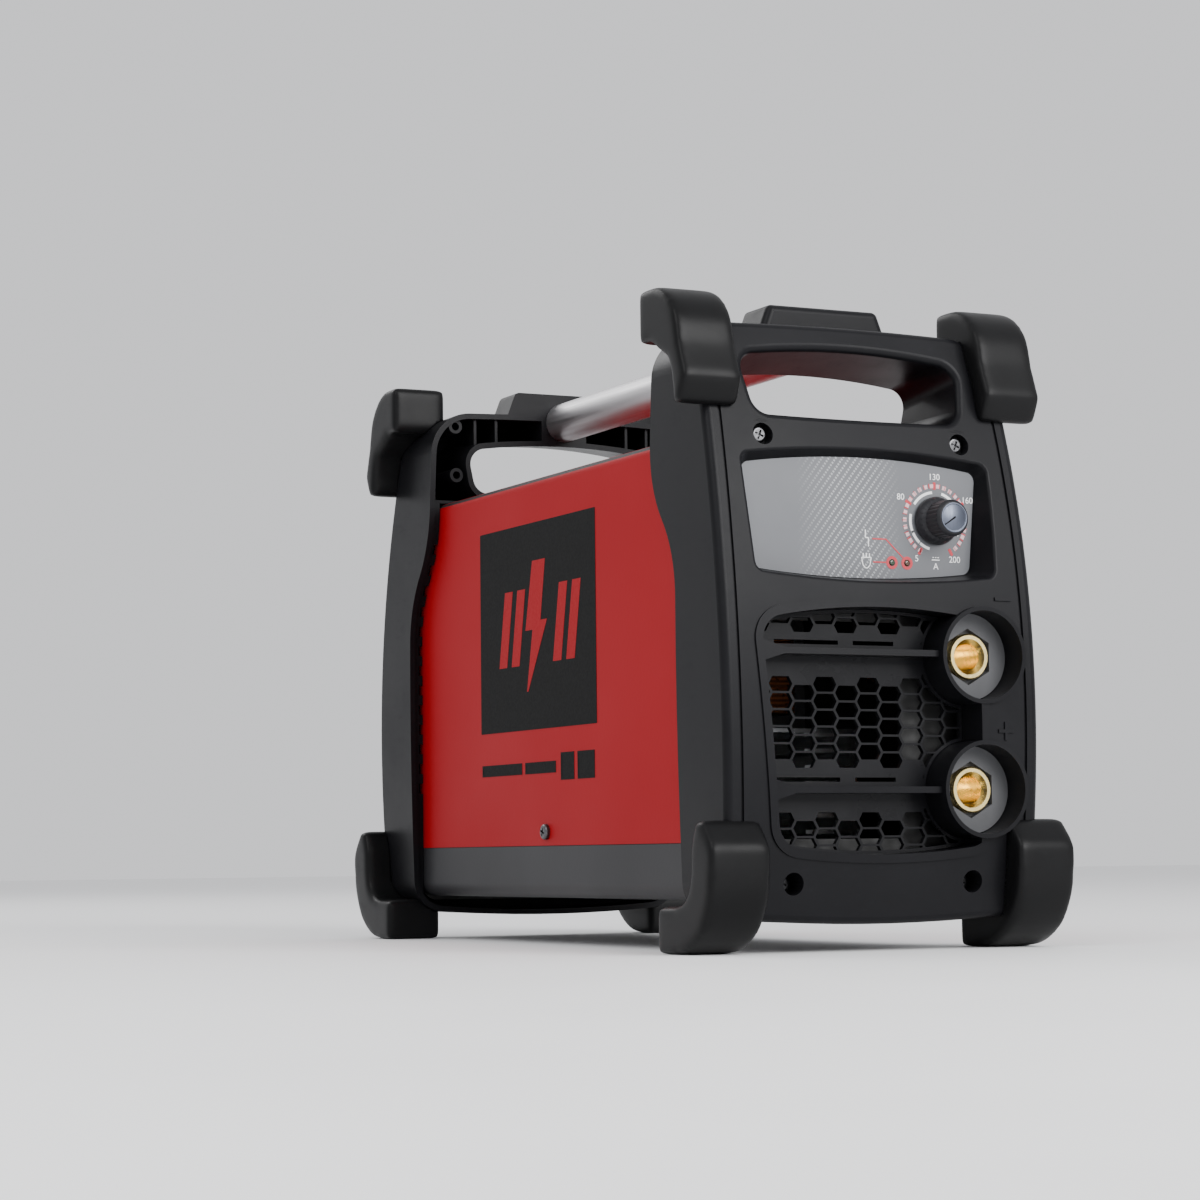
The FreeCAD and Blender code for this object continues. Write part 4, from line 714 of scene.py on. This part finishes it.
class WELDER_OT_knob(bpy.types.Operator):
    """Model the fluted knob and its grey cap with the pointer"""

    bl_idname = "welder.knob"
    bl_label = "Control knob"

    skirt_thick = 2.2 * MM
    # each step towards the nose: how much narrower, and how far in millimetres
    profile = ((0.965, 0.6), (0.93, 2.0), (0.86, 0.8), (1.0, 8.4), (0.985, 0.9), (0.94, 0.6))
    nose_ratio = 0.93
    seat_rim = 1.3 * MM          # wall round the seat of the cap
    seat_depth = 1.4 * MM
    flute_ratio = 0.955
    pointer_clock = 236          # degrees from the top
    pointer_half = 0.45 * MM     # half of its width

    def grip(self, sizes):
        """Skirt, waist and fluted barrel, drawn out from one round plate."""
        foot = knob_high.y
        nose = knob_low.y
        sides = sizes.knob_flutes * 4
        skirt = (knob_high.x - knob_low.x) / 2
        depth = foot - self.skirt_thick
        piece = drum("knob_grip", skirt, knob_x, knob_z, depth, foot, sides)
        pick(piece, "FACE", lambda f: f.normal.y < -0.9)
        for ratio, step in self.profile:
            reach = min(step * MM, depth - nose)
            extrude(y=-reach)
            narrow(ratio)
            depth -= reach
        extrude(y=nose - depth)
        narrow(self.nose_ratio)
        bpy.ops.mesh.inset(thickness=self.seat_rim)
        extrude(y=self.seat_depth)
        clear()
        barrel_front, barrel_back = nose + 1.6 * MM, foot - 5.4 * MM
        step = 360 / sizes.knob_flutes

        def flute(vert):
            turn = math.degrees(math.atan2(vert.co.x - knob_x, vert.co.z - knob_z)) % 360
            offset = abs((turn + step / 2) % step - step / 2)
            return barrel_front < vert.co.y < barrel_back and offset < step / 8 + 0.1

        pick(piece, "VERT", flute)
        narrow(self.flute_ratio)
        tidy_mesh(piece)
        soften(piece, 0.25 * MM, 2, 50)
        return piece

    def cap(self):
        """Slightly domed cap with a raised rim."""
        low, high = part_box("knob_cap")
        radius = (high.x - low.x) / 2 + 0.2 * MM
        piece = drum("knob_face", radius, knob_x, knob_z, low.y + 0.2 * MM, low.y + 1.5 * MM, 96)
        pick(piece, "FACE", lambda f: f.normal.y < -0.9)
        bpy.ops.mesh.inset(thickness=0.7 * MM)
        extrude(y=0.35 * MM)
        bpy.ops.mesh.inset(thickness=0.3 * MM)
        extrude(y=-0.45 * MM)
        narrow(0.9)
        tidy_mesh(piece)
        soften(piece, 0.12 * MM, 2, 50)
        return piece

    def pointer(self):
        """Dark line set in the cap, from its middle to its rim."""
        low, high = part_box("knob_cap")
        radius = (high.x - low.x) / 2
        half = self.pointer_half
        line = block("knob_pointer", (knob_x - half, low.y - 0.15 * MM, knob_z - 0.6 * MM),
                     (knob_x + half, low.y + 0.6 * MM, knob_z + radius * 0.93))
        pick(line, "VERT", lambda v: v.co.z > knob_z + radius * 0.8)
        bpy.ops.transform.resize(value=(0.5, 1, 1), center_override=(knob_x, 0, knob_z))
        clear()
        turn = Matrix.Rotation(math.radians(self.pointer_clock), 4, "Y")
        place = Matrix.Translation((knob_x, 0, knob_z))
        line.data.transform(place @ turn @ place.inverted())
        soften(line, 0.1 * MM, 2)
        return line

    def execute(self, context):
        sizes = context.scene.welder_sizes
        finished(self.grip(sizes), KNOB, "knob_black", "knob_black", "control_knob")
        finished(self.cap(), KNOB, "knob_grey", "knob_grey", "knob_cap")
        finished(self.pointer(), KNOB, "ink_black", "knob_black")
        return {"FINISHED"}


# ---------------------------------------------------------------- printed marks
def bar(name, x0, z0, x1, z1, width, y=None):
    """Straight printed line between two places of the control label."""
    y = label_y if y is None else y
    start, end = Vector((x0, 0, z0)), Vector((x1, 0, z1))
    along = end - start
    piece = block(name, (-width / 2, -ink, 0), (width / 2, ink_sink, along.length))
    soften(piece, width * 0.12, 1)
    turn = math.atan2(along.x, along.z)
    piece.data.transform(Matrix.Translation((x0, y, z0)) @ Matrix.Rotation(turn, 4, "Y"))
    return piece


def ring_mark(name, x, z, outer, inner, start, end, y=None, steps=None):
    """Part of a flat printed ring between two clock angles in degrees."""
    y = label_y if y is None else y
    turn = math.radians(end - start)
    steps = steps or max(3, int(abs(end - start) / 4))
    piece = block(name, (x - ink / 2, y - ink, z + inner), (x + ink / 2, y + ink_sink, z + outer))
    pick(piece, "FACE", lambda f: f.normal.x > 0.9)
    bpy.ops.mesh.delete(type="FACE")
    pick(piece, "VERT", lambda v: v.co.x < x)
    bpy.ops.mesh.delete(type="VERT")
    bpy.ops.mesh.select_all(action="SELECT")
    bpy.ops.mesh.edge_face_add()
    bpy.ops.mesh.spin(steps=steps, angle=turn, center=(x, y, z), axis=(0, 1, 0))
    tidy_mesh(piece)
    place = Matrix.Translation((x, 0, z))
    piece.data.transform(place @ Matrix.Rotation(math.radians(start), 4, "Y") @ place.inverted())
    tidy_mesh(piece)
    return piece


def path_marks(name, points, x, z, width):
    """Printed lines from point to point of a sign, in millimetres from its middle."""
    return [bar(name, x + x0 * MM, z + z0 * MM, x + x1 * MM, z + z1 * MM, width)
            for (x0, z0), (x1, z1) in zip(points, points[1:])]


def text_mark(name, text, x, z, height):
    """Printed figures centred on a place of the control label."""
    clear()
    bpy.ops.object.text_add()
    words = bpy.context.object
    words.data.body = text
    words.data.align_x = "CENTER"
    words.data.align_y = "CENTER"
    words.data.size = height / 0.7      # a capital is about 0.7 of the font's size
    words.data.extrude = ink / 2
    words.data.resolution_u = 4
    bpy.ops.object.convert(target="MESH")
    piece = bpy.context.object
    piece.name = name
    piece.data.name = name
    upright = Matrix.Rotation(math.pi / 2, 4, "X")
    piece.data.transform(Matrix.Translation((x, label_y - ink / 2, z)) @ upright)
    piece.data.update()
    tidy_mesh(piece, 0.002 * MM)
    return piece


def clock_place(angle, radius):
    """Place on the dial at a clock angle in degrees."""
    turn = math.radians(angle)
    return knob_x + radius * math.sin(turn), knob_z + radius * math.cos(turn)


class WELDER_OT_dial(bpy.types.Operator):
    """Print the current dial with its ring, ticks and figures"""

    bl_idname = "welder.dial"
    bl_label = "Dial"

    # clock angle, figure and how far it stands outside the ring
    figures = ((210, "5", 4.3 * MM), (300, "80", 5.0 * MM), (0, "130", 4.3 * MM),
               (60, "160", 4.3 * MM), (150, "200", 4.3 * MM))
    figure_height = 3.0 * MM
    arcs = ((-142, -118), (-112, -84), (-78, -40), (-6, 44), (50, 84), (118, 142))
    arc_outer, arc_inner = 14.4 * MM, 13.1 * MM
    # how far a tick reaches inside and outside the ring's middle, and its width
    minor = (1.0 * MM, 1.3 * MM, 0.5 * MM)
    major = (1.7 * MM, 1.9 * MM, 1.5 * MM)

    def execute(self, context):
        radius = context.scene.welder_sizes.dial_radius
        half_ring = 0.95 * MM
        pale, red, white = [], [], []
        for start in range(-146, 146, 12):
            pale.append(ring_mark("pale", knob_x, knob_z, radius + half_ring, radius - half_ring,
                                  start, start + 7))
        majors = [angle for angle, figure, lift in self.figures]
        for angle in range(-150, 151, 10):
            inside, outside, width = self.major if angle % 360 in majors else self.minor
            start, end = clock_place(angle, radius - inside), clock_place(angle, radius + outside)
            red.append(bar("tick", *start, *end, width))
        for start, end in self.arcs:
            white.append(ring_mark("arc", knob_x, knob_z, self.arc_outer, self.arc_inner, start, end))
        for angle, figure, lift in self.figures:
            x, z = clock_place(angle, radius + lift)
            white.append(text_mark("figure", figure, x, z, self.figure_height))
        # direct current sign and the letter A
        x, z = knob_x, knob_z - radius - 0.6 * MM
        white.extend(path_marks("direct_line", ((-2.2, -1.2), (2.2, -1.2)), x, z, 0.5 * MM))
        for step in (-1.8, -0.4, 1.0):
            white.append(bar("direct_dash", x + step * MM, z, x + (step + 0.8) * MM, z, 0.45 * MM))
        white.append(text_mark("amps", "A", x, z - 4.4 * MM, self.figure_height))
        finished(joined("dial_ring", pale), HOUSING, "ink_pink", "label_grey")
        finished(joined("dial_ticks", red), HOUSING, "ink_red", "label_grey")
        finished(joined("dial_figures", white), HOUSING, "ink_white", "label_grey")
        return {"FINISHED"}


class WELDER_OT_indicator_marks(bpy.types.Operator):
    """Print the indicator rings with their leader lines and picture signs"""

    bl_idname = "welder.indicator_marks"
    bl_label = "Indicator marks"

    ring_outer, ring_inner = 3.1 * MM, 1.75 * MM
    sign_gap = 14 * MM           # from the supply indicator to the signs
    fault_rise = 11 * MM         # from the supply sign up to the fault sign
    line = 0.65 * MM
    broken_arrow = ((-0.3, 4.2), (-0.3, 0.4), (1.3, 0.4), (1.3, -3.8))
    plug = ((-2.6, 2.0), (2.6, 2.0), (1.9, -1.6), (0.5, -3.0), (-0.5, -3.0), (-1.9, -1.6),
            (-2.6, 2.0))

    def execute(self, context):
        places, red, white = [], [], []
        for name in ("led_power", "led_alarm"):
            low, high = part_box(name)
            x, z = (low.x + high.x) / 2, (low.z + high.z) / 2
            places.append(x)
            red.append(ring_mark("ring", x, z, self.ring_outer, self.ring_inner, 0, 360, steps=40))
        power_x, alarm_x = places
        sign_x = power_x - self.sign_gap
        fault_z = z + self.fault_rise
        red.append(bar("power_leader", sign_x + 3.6 * MM, z, power_x - 2.9 * MM, z, self.line))
        red.append(bar("fault_leader", sign_x + 3.4 * MM, fault_z, sign_x + 11 * MM, fault_z,
                       self.line))
        red.append(bar("fault_slope", sign_x + 10.8 * MM, fault_z + 0.1 * MM,
                       alarm_x - 2.0 * MM, z + 2.3 * MM, self.line))
        white.extend(path_marks("fault", self.broken_arrow, sign_x, fault_z, 0.55 * MM))
        white.extend(path_marks("plug", self.plug, sign_x, z, 0.5 * MM))
        for prong in (-1.7, 0.0, 1.7):
            white.extend(path_marks("prong", ((prong, 2.0), (prong, 4.0)), sign_x, z, 0.6 * MM))
        finished(joined("indicator_lines", red), HOUSING, "ink_red", "label_grey")
        finished(joined("indicator_signs", white), HOUSING, "ink_white", "label_grey")
        return {"FINISHED"}


class WELDER_OT_side_badges(bpy.types.Operator):
    """Put the black panel with a plain spark between bars, and stripes below, on both sides"""

    bl_idname = "welder.side_badges"
    bl_label = "Side badges"

    mid_y, mid_z = 11 * MM, 165 * MM     # middle of the panel
    bar_starts = (-47, -31, 21, 37)      # y of each bar's foot from the middle, in millimetres
    bar_width = 10 * MM
    rise = 20 * MM                       # half of a bar's height
    lean = -8 * MM                       # how far a bar's head leans
    # y of both ends, z and height of each stripe, in millimetres
    stripes = ((82, 30, 88, 6), (26, -12, 88, 6), (-18, -34, 84, 14), (-38, -58, 84, 14))

    def panel(self, sizes):
        """Black film with small corner radii on the left hand side of the cover."""
        x = cover_low.x
        half_y, half_z = sizes.badge_length / 2, sizes.badge_height / 2
        low = (x - ink, self.mid_y - half_y, self.mid_z - half_z)
        high = (x + ink_sink, self.mid_y + half_y, self.mid_z + half_z)
        piece = block("badge_panel", low, high)
        pick(piece, "EDGE", lambda e: abs(e.verts[0].co.x - e.verts[1].co.x) > ink)
        bpy.ops.mesh.bevel(offset=0.6 * MM, segments=2, affect="EDGES", clamp_overlap=True)
        clear()
        return piece

    def leaf(self, foot, head, z_low, z_high, layer=0):
        """Four sided red mark between two heights, from the y values of its foot and its head."""
        x = cover_low.x - ink * (1 + layer / 5)
        piece = block("mark", (x - ink / 2, foot[0], z_low), (x + ink / 2, foot[1], z_high))
        pick(piece, "VERT", lambda v: v.co.z > (z_low + z_high) / 2)
        width = (head[1] - head[0]) / (foot[1] - foot[0])
        foot_mid = (foot[0] + foot[1]) / 2
        bpy.ops.transform.resize(value=(1, width, 1), center_override=(x, foot_mid, z_high))
        bpy.ops.transform.translate(value=(0, (head[0] + head[1]) / 2 - foot_mid, 0))
        clear()
        return piece

    def spark(self):
        """Two leaves that cross as a plain spark between the bars."""
        y, z = self.mid_y, self.mid_z
        tall, overlap = 1.7 * self.rise, 2 * MM
        upper = self.leaf((y - 5 * MM, y + 13 * MM), (y - 12 * MM, y + 4 * MM), z - overlap, z + tall)
        lower = self.leaf((y + 10 * MM, y + 11.5 * MM), (y - 14 * MM, y + 3 * MM),
                          z - tall, z + 2.5 * MM, 1)
        return [upper, lower]

    def execute(self, context):
        panel = self.panel(context.scene.welder_sizes)
        red = []
        for step in self.bar_starts:
            start = self.mid_y + step * MM
            end = start + self.bar_width
            red.append(self.leaf((start, end), (start + self.lean, end + self.lean),
                                 self.mid_z - self.rise, self.mid_z + self.rise))
        red.extend(self.spark())
        black = []
        x = cover_low.x
        for start, end, z, height in self.stripes:
            piece = block("stripe", (x - ink, end * MM, z * MM),
                          (x + ink_sink, start * MM, (z + height) * MM))
            pick(piece, "FACE", lambda f: f.normal.x < -0.9)
            bpy.ops.mesh.inset(thickness=1.3 * MM)
            extrude(x=ink * 0.6)
            clear()
            black.append(piece)
        badge = joined("badge_bars_left", red)
        stripes = joined("badge_stripes_left", black)
        panel.name = "badge_panel_left"
        for piece, finish in ((badge, "badge_red"), (stripes, "ink_black"), (panel, "ink_black")):
            other = mirrored(piece, piece.name.replace("left", "right"), 0)
            finished(piece, HOUSING, finish, "red_paint")
            finished(other, HOUSING, finish, "red_paint")
        return {"FINISHED"}


class WELDER_OT_rear_marks(bpy.types.Operator):
    """Print a plain ruled table on the rear plate and the signs of the power switch"""

    bl_idname = "welder.rear_marks"
    bl_label = "Rear marks"

    table_left, table_right = -12 * MM, 14 * MM
    table_top, table_foot = 218 * MM, 186 * MM
    rows = 5
    rule = 0.4 * MM
    sign_shift = 3.2 * MM        # each sign's middle from the rocker's axis

    def lay(self, sign, x, z):
        """Lay a sign made at the origin on the rocker's sloping face."""
        hit, place, normal, face = nodes["switch_rocker"].ray_cast((x, 1, z), (0, -1, 0))
        if not hit:
            raise RuntimeError("no rocker behind the sign")
        turn = Vector((0, 1, 0)).rotation_difference(normal).to_matrix().to_4x4()
        sign.data.transform(Matrix.Translation(place) @ turn)

    def execute(self, context):
        y = rear_face + ink_sink
        left, right, top, foot = self.table_left, self.table_right, self.table_top, self.table_foot
        white = []
        for row in range(self.rows + 1):
            z = top - row * (top - foot) / self.rows
            white.append(bar("rule", left, z, right, z, self.rule, y))
        for x in (left, 0.5 * MM, right):
            white.append(bar("column", x, top, x, foot, self.rule, y))
        finished(joined("rear_table", white), HOUSING, "ink_white", "label_grey")
        low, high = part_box("switch_rocker")
        x, z = (low.x + high.x) / 2, (low.z + high.z) / 2
        off_sign = ring_mark("off", 0, 0, 1.5 * MM, 1.0 * MM, 0, 360, 0.0, 28)
        on_sign = block("on", (-0.3 * MM, -ink, -1.4 * MM), (0.3 * MM, ink, 1.4 * MM))
        self.lay(off_sign, x, z + self.sign_shift)
        self.lay(on_sign, x, z - self.sign_shift)
        signs = joined("switch_signs", [off_sign, on_sign])
        finished(signs, ROCKER, "ink_white", "part_black")
        return {"FINISHED"}


# ---------------------------------------------------------------- cable gland
class WELDER_OT_gland_seal(bpy.types.Operator):
    """Fit the rubber seal in the mouth of the mains cable gland"""

    bl_idname = "welder.gland_seal"
    bl_label = "Gland seal"

    def execute(self, context):
        low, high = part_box("gland_nut")
        x, z = (low.x + high.x) / 2, (low.z + high.z) / 2
        clear()
        bpy.ops.mesh.primitive_torus_add(
            location=(x, high.y - 2.2 * MM, z), rotation=(math.pi / 2, 0, 0),
            major_radius=4.9 * MM, minor_radius=1.1 * MM, major_segments=48, minor_segments=12)
        seal = new_piece("gland_seal")
        pick(seal, "FACE", lambda f: f.normal.y > 0.7)
        bpy.ops.transform.translate(value=(0, 0.6 * MM, 0))
        choose(seal)
        bpy.ops.object.shade_smooth()
        finished(seal, HOUSING, "soft_black", "soft_black")
        return {"FINISHED"}


# ---------------------------------------------------------------- stage
class WELDER_OT_stage(bpy.types.Operator):
    """Set the pale floor, the soft lights and the camera"""

    bl_idname = "welder.stage"
    bl_label = "Stage"

    camera_place = (-0.72155, -1.4056, 0.0450)
    camera_right = (0.90121951, -0.43323015, -0.01072563)
    camera_up = (-0.02721254, -0.08127465, 0.99632018)
    camera_back = (-0.43250767, -0.89761131, -0.0850356)

    aim_at = Vector((0, 0, 0.15))

    def lamp(self, name, place, size, power):
        """Square soft light that faces the machine."""
        data = bpy.data.lights.new(name, "AREA")
        data.size = size
        data.energy = power
        lamp = bpy.data.objects.new(name, data)
        bpy.context.scene.collection.objects.link(lamp)
        lamp.location = place
        aim = self.aim_at - Vector(place)
        lamp.rotation_euler = aim.to_track_quat("-Z", "Y").to_euler()

    def execute(self, context):
        stage = context.scene.welder_stage
        clear()
        bpy.ops.mesh.primitive_plane_add(size=12, location=(0, 0, 0))
        floor = new_piece("floor")
        pale = Finish("floor_pale", (0.86, 0.86, 0.865), 0.6)
        pale.gloss(pale.ranged(pale.noise(6), 0.3, 0.7, 0.55, 0.65))
        floor.data.materials.append(pale.material)
        self.lamp("key_light", (0.5, -2.0, 1.1), 1.3, stage.key_power)
        self.lamp("fill_light", (-1.5, -1.1, 1.7), 1.2, stage.fill_power)
        self.lamp("back_light", (-0.6, 1.7, 1.6), 1.2, stage.fill_power)
        world = bpy.data.worlds.new("studio")
        context.scene.world = world
        world.use_nodes = True
        sky = world.node_tree.nodes["Background"]
        sky.inputs["Color"].default_value = (0.97, 0.975, 1.0, 1)
        sky.inputs["Strength"].default_value = 0.95
        data = bpy.data.cameras.new("view")
        data.lens = stage.lens
        data.sensor_width = 36
        camera = bpy.data.objects.new("view", data)
        context.scene.collection.objects.link(camera)
        turn = Matrix((self.camera_right, self.camera_up, self.camera_back)).transposed()
        camera.matrix_world = Matrix.Translation(self.camera_place) @ turn.to_4x4()
        context.scene.camera = camera
        return {"FINISHED"}


# ---------------------------------------------------------------- panel and running
operators = (WELDER_OT_finishes, WELDER_OT_bumpers, WELDER_OT_knob, WELDER_OT_dial,
             WELDER_OT_indicator_marks, WELDER_OT_side_badges, WELDER_OT_rear_marks,
             WELDER_OT_gland_seal, WELDER_OT_stage)


class WELDER_PT_panel(bpy.types.Panel):
    """Lists the pieces and the values that shape them"""

    bl_idname = "WELDER_PT_panel"
    bl_label = "Stick welder"
    bl_space_type = "VIEW_3D"
    bl_region_type = "UI"
    bl_category = "Welder"

    def draw(self, context):
        layout = self.layout
        for group in ("welder_sizes", "welder_colours", "welder_stage"):
            values = getattr(context.scene, group)
            for name in values.bl_rna.properties.keys():
                if name not in ("rna_type", "name"):
                    layout.prop(values, name)
        for operator in operators:
            layout.operator(operator.bl_idname)


groups = {"welder_sizes": WelderSizes, "welder_colours": WelderColours, "welder_stage": WelderStage}


def register():
    for name, group in groups.items():
        bpy.utils.register_class(group)
        setattr(bpy.types.Scene, name, bpy.props.PointerProperty(type=group))
    for operator in operators:
        bpy.utils.register_class(operator)
    bpy.utils.register_class(WELDER_PT_panel)


def unregister():
    bpy.utils.unregister_class(WELDER_PT_panel)
    for operator in reversed(operators):
        bpy.utils.unregister_class(operator)
    for name, group in groups.items():
        delattr(bpy.types.Scene, name)
        bpy.utils.unregister_class(group)


def main():
    register()
    for operator in operators:
        area, action = operator.bl_idname.split(".")
        getattr(getattr(bpy.ops, area), action)()


if __name__ == "__main__":
    main()
